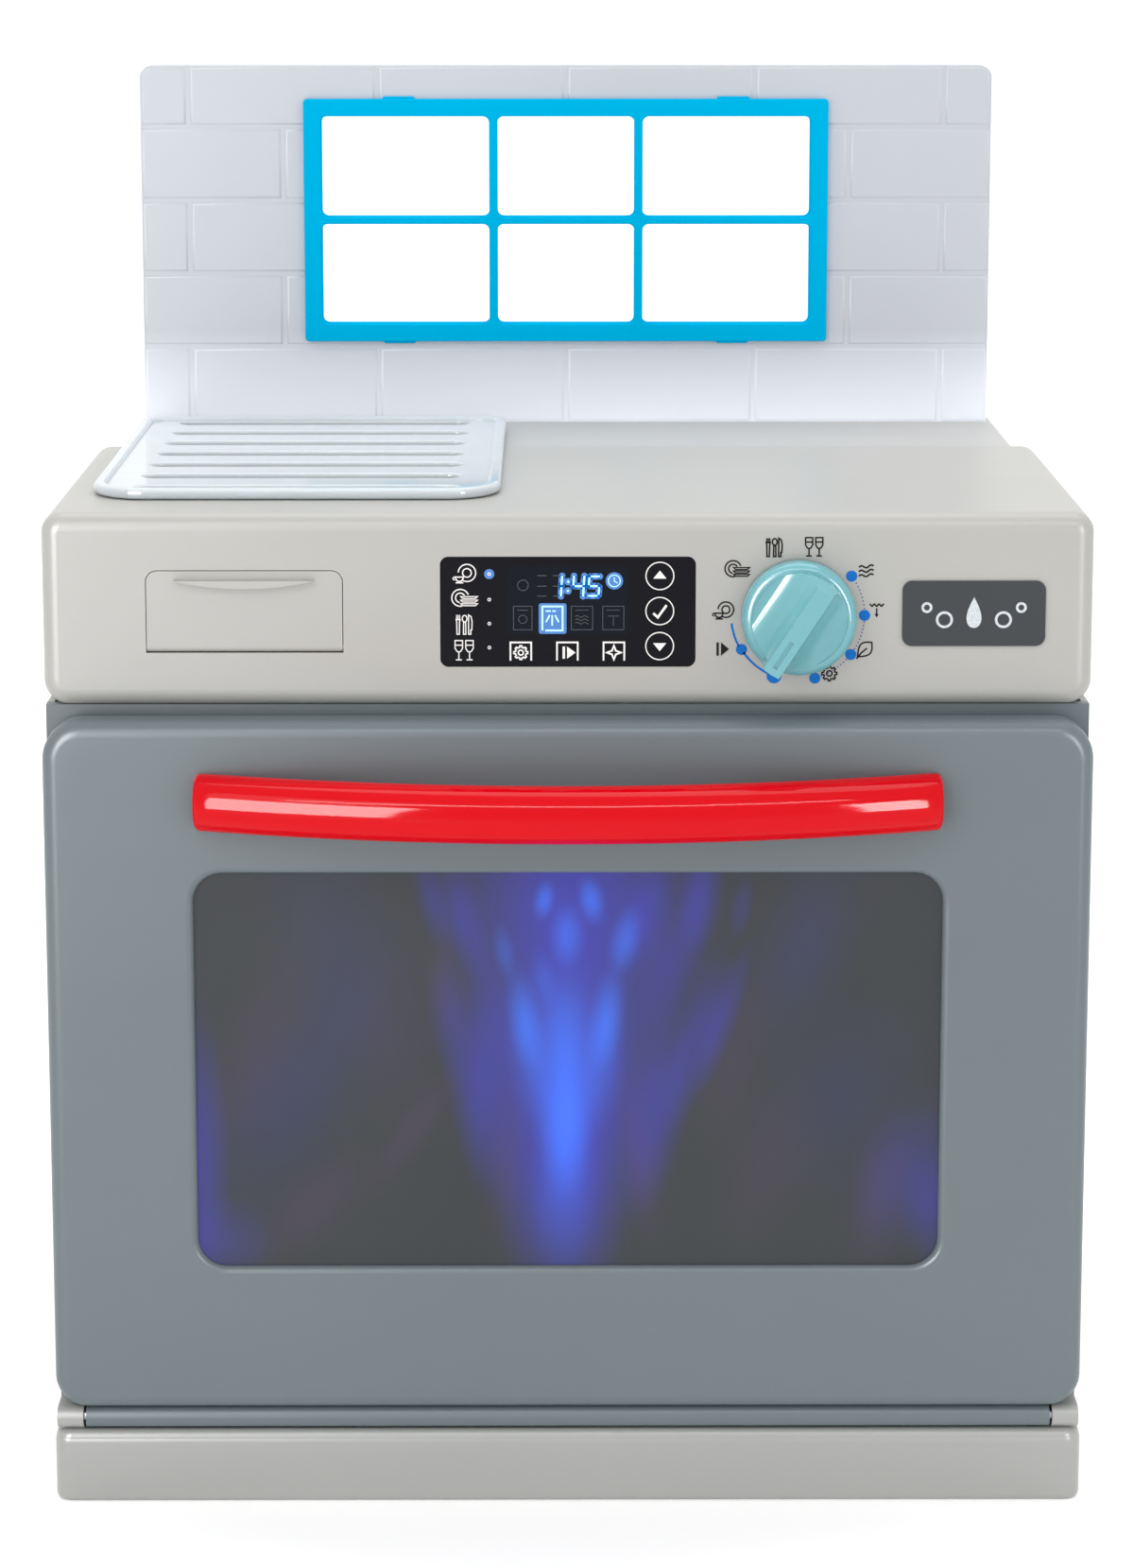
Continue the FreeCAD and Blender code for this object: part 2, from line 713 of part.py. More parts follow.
def make_rack(name, floor_z, height, rows):
    """A basket of slotted panels: a floor, two ends, two sides with runners, and combs for plates."""
    floor_top = f"{floor_z} + rack_bar"
    top = f"{floor_z} + {height}"
    floor_slots = []
    end_slots = []
    notches = []
    for column in range(RACK_COLUMNS):
        middle = f"({column} - {RACK_COLUMNS - 1} / 2) * rack_pitch"
        across = (f"{middle} - rack_slot / 2", f"{middle} + rack_slot / 2")
        for line, (front, back) in enumerate((("rack_front_y + 2 * rack_wall", "rack_mid_y - rack_wall"),
                                              ("rack_mid_y + rack_wall", "rack_back_y - 2 * rack_wall"))):
            floor_slots.append(block(f"{name}_floor_slot_{column}_{line}", across, (front, back),
                                     (f"{floor_z} - 1", f"{floor_top} + 1")))
        end_slots.append(block(f"{name}_end_slot_{column}", across, ("rack_front_y - 1", "rack_back_y + 1"),
                               (f"{floor_z} + {height} * 0.3", f"{floor_z} + {height} * 0.8")))
        notches.append(block(f"{name}_notch_{column}", across, ("rack_front_y", "rack_back_y"),
                             (f"{floor_z} + {height} * 0.5", top)))
    panel = block(f"{name}_floor_panel", both_sides("rack_x"), ("rack_front_y", "rack_back_y"),
                  (floor_z, floor_top))
    node(f"{name}_floor", cut(f"{name}_floor_cut", panel, *floor_slots))

    ends = gather(f"{name}_end_panels",
                  block(f"{name}_front_end", both_sides("rack_x"),
                        ("rack_front_y", "rack_front_y + rack_wall"), (floor_top, top)),
                  block(f"{name}_back_end", both_sides("rack_x"),
                        ("rack_back_y - rack_wall", "rack_back_y"), (floor_top, top)))
    node(f"{name}_ends", cut(f"{name}_ends_cut", ends, *end_slots))

    along = ("rack_front_y + rack_wall", "rack_back_y - rack_wall")
    sides = []
    for side in (-1, 1):
        wall_middle = f"{side} * (rack_x - rack_wall / 2)"
        runner_middle = f"{side} * (rack_x + runner_x) / 2"
        half = "(runner_x - rack_x) / 2"
        wall = block(f"{name}_side_{side + 1}", (f"{wall_middle} - rack_wall / 2", f"{wall_middle} + rack_wall / 2"),
                     along, (floor_top, top))
        runner = block(f"{name}_runner_{side + 1}",
                       (f"{runner_middle} - {half} - 0.5", f"{runner_middle} + {half} + 0.5"), along,
                       (f"{floor_z} + runner_rise", f"{floor_z} + runner_rise + runner"))
        sides.append(join(f"{name}_side_join_{side + 1}", wall, runner))
    node(f"{name}_sides", gather(f"{name}_side_pair", *sides))

    combs = []
    for row in rows:
        middle = f"rack_front_y + rack_wall + {row} * rack_row_pitch"
        combs.append(block(f"{name}_comb_{row}", both_sides("rack_x - rack_wall"),
                           (f"{middle} - rack_comb / 2", f"{middle} + rack_comb / 2"),
                           (floor_top, f"{floor_z} + {height} * 0.75")))
    blank = gather(f"{name}_comb_blanks", *combs) if len(combs) > 1 else combs[0]
    node(f"{name}_combs", cut(f"{name}_combs_cut", blank, *notches))


# ---------------------------------------------------------------- console

def make_console():
    outer = slab("console_outer", both_sides("side_x"), ("face_y", "seam_y"), ("sill_z", "counter_z"),
                 ("console_low_corner", "console_high_corner"))
    soften(outer, "console_edge", "y", "face_y")
    hollow = block("console_hollow", both_sides("side_x - console_wall"),
                   ("face_y + console_wall", "seam_y + 1"),
                   ("sill_z + console_wall", "counter_z - console_wall"))
    hatch = block("console_hatch", both_sides("hatch_x"), ("face_y + 12", "seam_y - 12"),
                  ("sill_z - 1", "sill_z + 2 * console_wall"))
    drawer_hole = slab("drawer_hole", ("drawer_x - drawer_half", "drawer_x + drawer_half"),
                       ("face_y - 1", "face_y + 2 * console_wall"), ("drawer_low_z", "drawer_high_z"),
                       (None, "drawer_corner"))
    pin_hole = rod("drawer_pin_hole", "x", "bin_pin_bore",
                   ("drawer_x - drawer_half - bin_pin_long - gap", "drawer_x + drawer_half + bin_pin_long + gap"),
                   y="tilt_y", z="tilt_z")
    lens_hole = slab("lens_hole", both_sides("lens_x"), ("face_y - 1", "face_y + 2 * console_wall"),
                     ("lens_low_z", "lens_high_z"), ("lens_corner", "lens_corner"))
    bush_hole = rod("bush_hole", "y", "bush", ("face_y - 1", "face_y + 2 * console_wall"),
                    x="knob_x", z="knob_z")
    badge_seat = slab("badge_seat", ("badge_x - badge_half_x", "badge_x + badge_half_x"),
                      ("face_y - 1", "face_y + badge_sink"),
                      ("badge_z - badge_half_z", "badge_z + badge_half_z"),
                      ("badge_corner", "badge_corner"))
    shell = cut("console_shell", outer, hollow, hatch, drawer_hole, pin_hole, lens_hole, bush_hole,
                badge_seat)
    pillars = []
    bores = []
    for number, (x, z) in enumerate(screw_places("standoff_x", "standoff_low_z", "standoff_high_z")):
        pillars.append(rod(f"standoff_{number}", "y", "standoff", ("face_y + console_wall - 0.5", "board_y"),
                           x=x, z=z))
        bores.append(rod(f"standoff_bore_{number}", "y", "screw", ("board_y - 8", "board_y + 1"), x=x, z=z))
    bossed = join("console_bossed", shell, *pillars)
    node("console_housing", cut("console_housing_cut", bossed, *bores))


def make_display():
    face = slab("lens_face", both_sides("lens_x"), ("face_y + lens_sink", "face_y + console_wall"),
                ("lens_low_z", "lens_high_z"), ("lens_corner", "lens_corner"))
    flange = slab("lens_flange", both_sides("lens_x + lens_lip"), ("face_y + console_wall", "lens_back_y"),
                  ("lens_low_z - lens_lip", "lens_high_z + lens_lip"), ("lens_corner", "lens_corner"))
    holes = [rod(f"{height}_hole", "y", "button_hole", ("face_y - 1", "lens_back_y + 1"),
                 x="button_x", z=height)
             for height in ("button_low_z", "button_mid_z", "button_high_z")]
    node("display_lens", cut("display_lens_cut", join("lens_join", face, flange), *holes))

    for name, height in (
        ("button_up", "button_high_z"),
        ("button_select", "button_mid_z"),
        ("button_down", "button_low_z"),
    ):
        cap = rod(f"{name}_cap", "y", "button", ("button_front_y", "button_collar_y"),
                  x="button_x", z=height)
        collar = rod(f"{name}_collar", "y", "button_collar", ("button_collar_y", "button_collar_end_y"),
                     x="button_x", z=height)
        stem = rod(f"{name}_stem", "y", "button_stem", ("button_collar_end_y", "button_stem_end_y"),
                   x="button_x", z=height)
        node(name, join(f"{name}_join", cap, collar, stem))


def make_electronics():
    board = block("board_plate", both_sides("board_x"), ("board_y", "board_y + board"),
                  ("board_low_z", "board_high_z"))
    places = screw_places("standoff_x", "standoff_low_z", "standoff_high_z")
    holes = [rod(f"board_hole_{number}", "y", "screw_hole", ("board_y - 1", "board_y + board + 1"), x=x, z=z)
             for number, (x, z) in enumerate(places)]
    node("circuit_board", cut("circuit_board_cut", board, *holes))
    screws = [screw(f"board_screw_{number}", "board_y - 7", "board_y + board", x, z)
              for number, (x, z) in enumerate(places)]
    node("board_screws", gather("board_screw_set", *screws))

    node("display_module", block("display_module_block", both_sides("glass_x"),
                                 ("lens_back_y + 0.2", "board_y"), ("glass_low_z", "glass_high_z")))

    switches = []
    for height in ("button_low_z", "button_mid_z", "button_high_z"):
        case = block(f"{height}_case", ("button_x - 3", "button_x + 3"), ("board_y - 3.6", "board_y"),
                     (f"{height} - 3", f"{height} + 3"))
        plunger = rod(f"{height}_plunger", "y", "button_stem", ("board_y - 4.6", "board_y - 3.6"),
                      x="button_x", z=height)
        switches.append(join(f"{height}_switch", case, plunger))
    node("tact_switches", gather("tact_switch_set", *switches))

    lamps = [rod(f"signal_{line}", "y", 1.5, ("lens_back_y + 0.2", "board_y"), x="lamp_dot_x",
                 z=f"lens_high_z - 6 - {line} * 9")
             for line in range(4)]
    node("signal_lamps", gather("signal_lamp_set", *lamps))

    chip = block("chip", (-9, 9), ("board_y + board", "board_y + board + 2.4"),
                 ("board_low_z + 14", "board_low_z + 32"))
    plug = block("lead_socket", (-40, -22), ("board_y + board", "board_y + board + 6"),
                 ("board_low_z + 4", "board_low_z + 12"))
    node("board_components", gather("board_component_set", chip, plug))


def make_rotary_switch():
    case = block("switch_case", ("knob_x - switch_x", "knob_x + switch_x"),
                 ("face_y + console_wall", "face_y + console_wall + 8"),
                 ("knob_z - switch_x", "knob_z + switch_x"))
    bush = rod("switch_bush", "y", "bush", ("face_y + 0.5", "face_y + console_wall"),
               x="knob_x", z="knob_z")
    bore = rod("switch_bore", "y", "shaft_bore", ("face_y", "face_y + console_wall + 7.5"),
               x="knob_x", z="knob_z")
    node("rotary_switch", cut("rotary_switch_cut", join("switch_join", case, bush), bore))


def make_knob():
    """A round knob with a rounded rim, a grip bar between two scoops, and a pointer groove.

    It is built about the origin with its bar upright and its pointer down, then turned and placed.
    """
    back = "-1 * knob_gap"
    rim_front = f"{back} - knob_rim"
    bar_front = f"{back} - knob_high"
    rim = document.addObject("PartDesign::Body", "knob_rim_body")
    sketch = rim.newObject("Sketcher::SketchObject", "knob_circle")
    sketch.AttachmentSupport = [(origin_plane(rim, "XZ_Plane"), "")]
    sketch.MapMode = "FlatFace"
    sketch.setExpression("AttachmentOffset.Base.z", linked("knob_gap"))
    circle = sketch.addGeometry(Part.Circle(Vector(), Vector(0, 0, 1), measure("knob")), False)
    sketch.addConstraint(Sketcher.Constraint("Coincident", circle, 3, -1, 1))
    number = sketch.addConstraint(Sketcher.Constraint("Radius", circle, measure("knob")))
    sketch.setExpression(f"Constraints[{number}]", linked("knob"))
    pad = rim.newObject("PartDesign::Pad", "knob_pad")
    pad.Profile = sketch
    pad.setExpression("Length", linked("knob_rim"))
    soften(rim, "knob_edge", "y", rim_front)

    core = rod("knob_core_rod", "y", "knob_core", (bar_front, back))
    bar = block("knob_bar_block", both_sides("knob_bar"), (bar_front, back), ("-1 * knob", "knob_core"))
    round_end = rod("knob_round", "y", "knob - gap", (bar_front, back))
    pointer = common("knob_pointer", bar, round_end)
    scoops = []
    for side in (-1, 1):
        scoops.append(rod(f"knob_scoop_{side + 1}", "z", "knob_scoop", both_sides("2 * knob"),
                          x=f"{side} * (knob_bar + knob_scoop)", y=bar_front))
        middle = f"{side} * (knob_bar + 2 * knob_scoop)"
        scoops.append(block(f"knob_clear_{side + 1}", (f"{middle} - knob_scoop", f"{middle} + knob_scoop"),
                            (f"{bar_front} - 5", f"{bar_front} + knob_scoop"), both_sides("2 * knob")))
    carve = common("knob_carve", join("knob_scoops", *scoops), rod("knob_reach", "y", "knob_core",
                                                                (f"{bar_front} - 5", back)))
    groove = block("knob_groove", (-0.8, 0.8), (f"{bar_front} - 1", f"{bar_front} + 0.7"),
                   ("3 - knob", "14 - knob"))
    slope = block("knob_slope", both_sides("knob"), (0, 30), (0, 14))
    slope.Placement = Placement(Vector(), Rotation(Vector(1, 0, 0), 18))
    spot(slope, x="-1 * knob", y=bar_front, z="knob_core - 2.5")
    bore = rod("knob_bore", "y", "shaft", (f"{back} - 11.4", f"{back} + 1"))
    blank = join("knob_blank", rim, cut("knob_flanks", core, carve), pointer)
    dish = cut("knob_dish", blank, carve)
    knob = cut("knob_cut", dish, groove, slope, bore)
    turned = document.addObject("Part::Compound", "knob_turned")
    turned.Links = [knob]
    turned.Placement = Placement(Vector(), Rotation(Vector(0, 1, 0), 1))
    turned.setExpression(".Placement.Rotation.Angle", linked("knob_turn"))
    spot(turned, x="knob_x", y="face_y", z="knob_z")
    node("programme_knob", turned)
    node("knob_shaft", rod("knob_shaft_rod", "y", "shaft", ("face_y - knob_gap - 11.4", "face_y + 10"),
                           x="knob_x", z="knob_z"))


def sector(name, radius, width, start, end):
    """A slice of a cylinder about X, between two angles measured from straight back."""
    slice_ = document.addObject("Part::Cylinder", name)
    slice_.setExpression("Radius", linked(radius))
    slice_.setExpression("Height", linked(width))
    slice_.Angle = end - start
    slice_.Placement = Placement(Vector(), Rotation(Vector(1, 0, 0), start) * Rotation(Vector(1, 1, 1), 120))
    return spot(slice_, x=f"drawer_x - ({width}) / 2", y="tilt_y", z="tilt_z")


def make_drawer():
    """A bin that tilts out about its lower edge, with its back wall curved about the same axis."""
    front = slab("drawer_plate", ("drawer_x - drawer_half + gap", "drawer_x + drawer_half - gap"),
                 ("face_y", "face_y + drawer_thick"), ("tilt_z", "drawer_high_z - gap"),
                 (None, "drawer_corner - gap"))
    foot = rod("drawer_foot", "x", "tilt_radius",
               ("drawer_x - drawer_half + gap", "drawer_x + drawer_half - gap"), y="tilt_y", z="tilt_z")
    low, high, full = 12, 62, 92
    back = cut("bin_back", sector("bin_back_outer", "bin", "2 * bin_half", low, high),
               sector("bin_back_inner", "bin - bin_wall", "2 * bin_half + 2", low - 5, high + 5))
    floor = sector("bin_floor", "bin", "2 * bin_half", low, low + 5)
    cheeks = cut("bin_cheeks", sector("bin_cheek_outer", "bin", "2 * bin_half", low, full),
                 sector("bin_cheek_inner", "bin + 1", "2 * (bin_half - bin_wall)", low - 5, full + 5))
    pins = [rod(f"bin_pin_{side + 1}", "x", "bin_pin",
                (f"drawer_x + {side} * (drawer_half + bin_pin_long / 2 - 1) - bin_pin_long / 2 - 1",
                 f"drawer_x + {side} * (drawer_half + bin_pin_long / 2 - 1) + bin_pin_long / 2 + 1"),
                y="tilt_y", z="tilt_z")
            for side in (-1, 1)]
    disc = rod("lip_disc", "y", "lip_bow", ("face_y - lip_out", "face_y + 1"), x="drawer_x",
               z="lip_z - lip_sag + lip_bow")
    trim = block("lip_trim", ("drawer_x - lip_half", "drawer_x + lip_half"),
                 ("face_y - lip_out", "face_y + 1"), ("lip_z - 2 * lip_sag", "lip_z"))
    lip = common("drawer_lip", disc, trim)
    node("detergent_drawer", join("drawer_join", front, foot, back, floor, cheeks, lip, *pins))


def make_badge():
    node("badge_plate", slab("badge_slab", ("badge_x - badge_half_x", "badge_x + badge_half_x"),
                             ("face_y - badge_out", "face_y + badge_sink"),
                             ("badge_z - badge_half_z", "badge_z + badge_half_z"),
                             ("badge_corner", "badge_corner")))


# ---------------------------------------------------------------- rear shell and what it holds

def make_rear_shell():
    outer = slab("rear_outer", both_sides("rear_x"), ("seam_y", "back_y"), ("base_z", "deck_z"),
                 (None, "rear_corner"), across="z")
    soften(outer, "base_foot", "z", "deck_z", leave=("y", "seam_y"))
    hollow = block("rear_hollow", both_sides("rear_x - wall"), ("seam_y - 1", "back_y - wall"),
                   ("base_z - 1", "deck_z - wall"))
    through = ("back_y - 2 * wall", "back_y + 1")
    tools = [hollow, slab("battery_hole", both_sides("cover_x + gap"), through,
                          ("battery_z - cover_half_z - gap", "battery_z + cover_half_z + gap"),
                          ("cover_corner", "cover_corner"))]
    for number in range(-3, 4):
        tools.append(slab(f"grille_{number + 3}", (f"speaker_x + {number} * 4 - 1", f"speaker_x + {number} * 4 + 1"),
                          through, (f"battery_z - 11 + {abs(number)}", f"battery_z + 11 - {abs(number)}"),
                          (0.9, 0.9)))
    tools.append(block("power_hole", ("power_x - 7.5", "power_x + 7.5"), through,
                       ("battery_z - 3.5", "battery_z + 3.5")))
    for number, height in enumerate(("base_z + 35", "base_z + 130", "ceiling_z - 25")):
        for side in (-1, 1):
            x = f"{side} * back_screw_x"
            tools.append(rod(f"back_hole_{number}_{side + 1}", "y", "screw_hole", through, x=x, z=height))
            tools.append(rod(f"back_sink_{number}_{side + 1}", "y", "screw_head + 0.2",
                             ("back_y - screw_head_high - gap", "back_y + 1"), x=x, z=height))
    for side in (-1, 1):
        tools.append(block(f"tab_hole_{side + 1}", (f"{side} * tab_x - tab_half", f"{side} * tab_x + tab_half"),
                           ("splash_y + 4", "splash_y + 8"), ("deck_z - 2 * wall", "deck_z + 1")))
    node("rear_shell", cut("rear_shell_cut", outer, *tools))
    screws = [screw(f"back_screw_{number}_{side + 1}", "back_y - 20", "back_y - screw_head_high - gap",
                    f"{side} * back_screw_x", height)
              for number, height in enumerate(("base_z + 35", "base_z + 130", "ceiling_z - 25"))
              for side in (-1, 1)]
    node("back_screws", gather("back_screw_set", *screws))


def make_battery_box():
    inner_x = both_sides("tray_x - tray_wall")
    inner_z = ("battery_z - tray_half_z + tray_wall", "battery_z + tray_half_z - tray_wall")
    box = block("tray_box", both_sides("tray_x"), ("tray_y", "back_y - wall - 1"),
                ("battery_z - tray_half_z", "battery_z + tray_half_z"))
    flange = block("tray_flange", both_sides("flange_x"), ("back_y - wall - 2", "back_y - wall"),
                   ("battery_z - flange_half_z", "battery_z + flange_half_z"))
    room = block("tray_room", inner_x, ("tray_y + tray_wall", "back_y"), inner_z)
    node("battery_box", cut("battery_box_cut", join("tray_join", box, flange), room))
    cover = slab("cover_slab", both_sides("cover_x"), ("back_y - wall", "back_y"),
                 ("battery_z - cover_half_z", "battery_z + cover_half_z"), ("cover_corner", "cover_corner"))
    sink = rod("cover_sink", "y", "screw_head", ("back_y - screw_head_high", "back_y + 1"),
               z="battery_z + cover_half_z - 2.5 - screw_head / 3")
    node("battery_cover", cut("battery_cover_cut", cover, sink))
    node("battery_cover_screw", rod("cover_screw_head", "y", "screw_head",
                                    ("back_y - screw_head_high", "back_y - 0.2"),
                                    z="battery_z + cover_half_z - 2.5 - screw_head / 3"))
    cells = []
    contacts = []
    for line in (-1, 0, 1):
        z = f"battery_z + {line} * cell_pitch"
        can = rod(f"cell_can_{line + 1}", "x", "cell", ("-1 * cell_half", "cell_half - 1"), y="cell_y", z=z)
        nub = rod(f"cell_nub_{line + 1}", "x", 2.7, ("cell_half - 1", "cell_half + 0.5"), y="cell_y", z=z)
        cells.append(join(f"cell_{line + 1}", can, nub))
        for side, reach in ((-1, "cell_half"), (1, "cell_half + 0.5")):
            low, high = sorted((f"{side} * ({reach})", f"{side} * (tray_x - tray_wall)"), key=measure)
            contacts.append(rod(f"contact_{line + 1}_{side + 1}", "x", "cell - 2.5", (low, high),
                                y="cell_y", z=z))
    node("batteries", gather("battery_set", *cells))
    node("battery_contacts", gather("battery_contact_set", *contacts))


def make_speaker_and_power_switch():
    cone = rod("speaker_cone", "y", "speaker", ("back_y - wall - 7", "back_y - wall"),
               x="speaker_x", z="battery_z")
    magnet = rod("speaker_magnet", "y", "magnet", ("back_y - wall - 14", "back_y - wall - 7"),
                 x="speaker_x", z="battery_z")
    node("loudspeaker", join("speaker_join", cone, magnet))

    case = block("power_case", ("power_x - 12", "power_x + 12"), ("back_y - wall - 9", "back_y - wall"),
                 ("battery_z - 8", "battery_z + 8"))
    track = block("power_track", ("power_x - 7.5", "power_x + 7.5"), ("back_y - wall - 4", "back_y"),
                  ("battery_z - 3.5", "battery_z + 3.5"))
    node("power_switch", cut("power_switch_cut", case, track))
    node("power_slider", block("power_slider_block", ("power_x - 7", "power_x - 7 + 2 * power_travel - 1.2"),
                               ("back_y - wall - 3.6", "back_y - 0.4"),
                               ("battery_z - 3.1", "battery_z + 3.1")))


def lead(name, points, spread=1.4, radius=0.6):
    """A pair of thin leads along a route of straight runs with arcs between them."""
    pair = []
    for side in (-1, 1):
        route = [Vector(x + side * spread, y, z) for x, y, z in points]
        edges = []
        here = route[0]
        for before, corner, after in zip(route, route[1:], route[2:]):
            inward = (before - corner).normalize()
            onward = (after - corner).normalize()
            turn = math.pi - inward.getAngle(onward)
            room = 0.45 * min((before - corner).Length, (after - corner).Length)
            start = corner + inward * room
            end = corner + onward * room
            bend = room / math.tan(turn / 2)
            centre = corner + (inward + onward).normalize() * math.hypot(room, bend)
            middle = centre + (corner - centre).normalize() * bend
            edges.append(Part.LineSegment(here, start).toShape())
            edges.append(Part.Arc(start, middle, end).toShape())
            here = end
        edges.append(Part.LineSegment(here, route[-1]).toShape())
        path = Part.Wire(edges)
        tangent = (route[1] - route[0]).normalize()
        section = Part.Wire([Part.makeCircle(radius, route[0], tangent)])
        pair.append(path.makePipeShell([section], True, False))
    feature = document.addObject("Part::Feature", name + "_shape")
    feature.Shape = Part.makeCompound(pair)
    node(name, feature)


def make_leads():
    """Leads from the circuit board to the batteries, the loudspeaker and the lamp, above the ceiling."""
    sockets = measure("board_y + board + 6")
    socket_z = measure("board_low_z + 8")
    tray_front = measure("tray_y")
    cell_z = measure("battery_z")
    lead("battery_leads", [(-31, sockets, socket_z), (-30, sockets + 45, socket_z - 4),
                           (-25, sockets + 95, socket_z + 2), (-22, sockets + 150, socket_z + 4),
                           (-20, tray_front, cell_z - 4)])
    speaker_x = measure("speaker_x")
    magnet_front = measure("back_y - wall - 14")
    lead("speaker_leads", [(-36, sockets, socket_z), (-38, sockets + 40, socket_z - 3),
                           (-54, sockets + 90, socket_z - 2), (-80, sockets + 145, socket_z + 3),
                           (speaker_x, magnet_front - 45, cell_z - 2), (speaker_x, magnet_front, cell_z)],
         spread=1.2)
    lamp_top = measure("ceiling_z + 6")
    lamp_y = measure("face_y + 126")
    lead("lamp_leads", [(-26, sockets, socket_z), (-24, sockets + 30, socket_z - 1),
                        (-15, sockets + 62, socket_z - 2), (-4, lamp_y - 12, socket_z - 1),
                        (0, lamp_y, lamp_top + 5), (0, lamp_y, lamp_top)], spread=1.2)


# ---------------------------------------------------------------- back wall, window and drying rack

def make_backsplash():
    outer = slab("splash_outer", both_sides("splash_x"), ("splash_y", "splash_y + splash_thick"),
                 ("deck_z", "crown_z"), (None, "splash_corner"))
    hollow = block("splash_hollow", both_sides("splash_x - wall"),
                   ("splash_y + console_wall", "splash_y + splash_thick + 1"),
                   ("deck_z + wall", "crown_z - wall"))
    opening = slab("splash_opening", both_sides("window_x - window_lap"), ("splash_y - 1", "splash_y + 6"),
                   ("window_low_z + window_lap", "window_high_z - window_lap"),
                   ("window_corner - 1", "window_corner - 1"))
    joints = []
    deep = ("splash_y - 1", "splash_y + tile_joint_deep")
    levels = [f"first_joint_z - {line} * tile_high" for line in range(4)]
    for line, level in enumerate(levels):
        joints.append(block(f"joint_{line}", both_sides("splash_x + 1"), deep,
                            (f"{level} - tile_joint / 2", f"{level} + tile_joint / 2")))
    edges = ["crown_z + 1", *levels, "deck_z"]
    for line in range(5):
        steps = (-2, -1, 0, 1, 2) if line % 2 == 0 else (-1.5, -0.5, 0.5, 1.5)
        for number, step in enumerate(steps):
            joints.append(block(f"joint_{line}_{number}",
                                (f"{step} * tile_long - tile_joint / 2", f"{step} * tile_long + tile_joint / 2"),
                                deep, (edges[line + 1], edges[line])))
    wall = cut("splash_wall", outer, hollow, opening, join("tile_joints", *joints))
    tabs = [block(f"splash_tab_{side + 1}",
                  (f"{side} * tab_x - tab_half + gap", f"{side} * tab_x + tab_half - gap"),
                  ("splash_y + 4 + gap / 2", "splash_y + 8 - gap / 2"), ("deck_z - tab_long", "deck_z + wall"))
            for side in (-1, 1)]
    node("backsplash", join("backsplash_join", wall, *tabs))


def make_window_frame():
    """A snap-in frame with a flange in front of the tiles, and six open panes."""
    flange = slab("window_flange", both_sides("window_x"), ("splash_y - window_out", "splash_y"),
                  ("window_low_z", "window_high_z"), ("window_corner", "window_corner"))
    sleeve = slab("window_sleeve", both_sides("window_x - window_lap"),
                  ("splash_y - 1", "splash_y + window_deep"),
                  ("window_low_z + window_lap", "window_high_z - window_lap"),
                  ("window_corner - 1", "window_corner - 1"))
    columns = (
        ("window_bar - window_x", "-1 * mullion_x - mullion / 2"),
        ("mullion / 2 - mullion_x", "mullion_x - mullion / 2"),
        ("mullion_x + mullion / 2", "window_x - window_bar"),
    )
    rows = (
        ("window_low_z + window_bar", "transom_z - transom / 2"),
        ("transom_z + transom / 2", "window_high_z - window_bar"),
    )
    panes = [slab(f"window_pane_{line}_{column}", across, ("splash_y - window_out - 1", "splash_y + window_deep + 1"),
                  up, ("pane_fillet", "pane_fillet"))
             for line, up in enumerate(rows) for column, across in enumerate(columns)]
    node("window_frame", cut("window_frame_cut", join("window_join", flange, sleeve), *panes))


def make_drying_rack():
    outer = slab("dryer_outer", ("dryer_low_x", "dryer_high_x"), ("dryer_front_y", "dryer_back_y"),
                 ("dryer_low_z", "dryer_low_z + dryer_rim_high"), ("dryer_front_corner", "dryer_back_corner"),
                 across="z")
    dish = slab("dryer_dish", ("dryer_low_x + dryer_rim", "dryer_high_x - dryer_rim"),
                ("dryer_front_y + dryer_rim", "dryer_back_y - dryer_rim"),
                ("dryer_low_z + dryer_plate", "dryer_low_z + dryer_rim_high + 1"),
                ("dryer_front_corner - dryer_rim", "dryer_back_corner - dryer_rim"), across="z")
    slots = [slab(f"dryer_slot_{number}", ("slot_low_x", "slot_high_x"),
                  (f"slot_first_y + {number} * slot_pitch - slot_half",
                   f"slot_first_y + {number} * slot_pitch + slot_half"),
                  ("dryer_low_z - 1", "dryer_low_z + dryer_rim_high"),
                  ("slot_half - 0.5", "slot_half - 0.5"), across="z")
             for number in range(7)]
    node("drying_rack", cut("drying_rack_cut", outer, dish, *slots))


# ---------------------------------------------------------------- build, check and write

def write_nodes():
    document.recompute()
    broken = [item.Name for item in document.Objects if {"Invalid", "Error"} & set(item.State)]
    if broken:
        raise RuntimeError(f"objects that failed: {broken}")
    os.makedirs("parts", exist_ok=True)
    for name, thing in NODES.items():
        shape = thing.Shape
        if thing.Label != name or shape.isNull() or not shape.isValid() or shape.Volume <= 0:
            raise RuntimeError(f"{name} has no sound shape")
        print(f"{name}: {len(shape.Solids)} solid(s), {shape.Volume / 1000:.2f} cm3")
        shape.exportStep(f"parts/{name}.step")


make_base()
make_frame_and_panels()
make_liners()
make_ceiling_and_lamp()
make_catches()
make_door_outer()
make_door_inner()
make_door_window()
make_handle()
make_door_hardware()
make_rack("lower_rack", "low_rack_z", "low_rack_high", (2, 3, 4))
make_rack("upper_rack", "high_rack_z", "high_rack_high", (3,))
make_console()
make_display()
make_electronics()
make_rotary_switch()
make_knob()
make_drawer()
make_badge()
make_rear_shell()
make_battery_box()
make_speaker_and_power_switch()
make_leads()
make_backsplash()
make_window_frame()
make_drying_rack()
write_nodes()
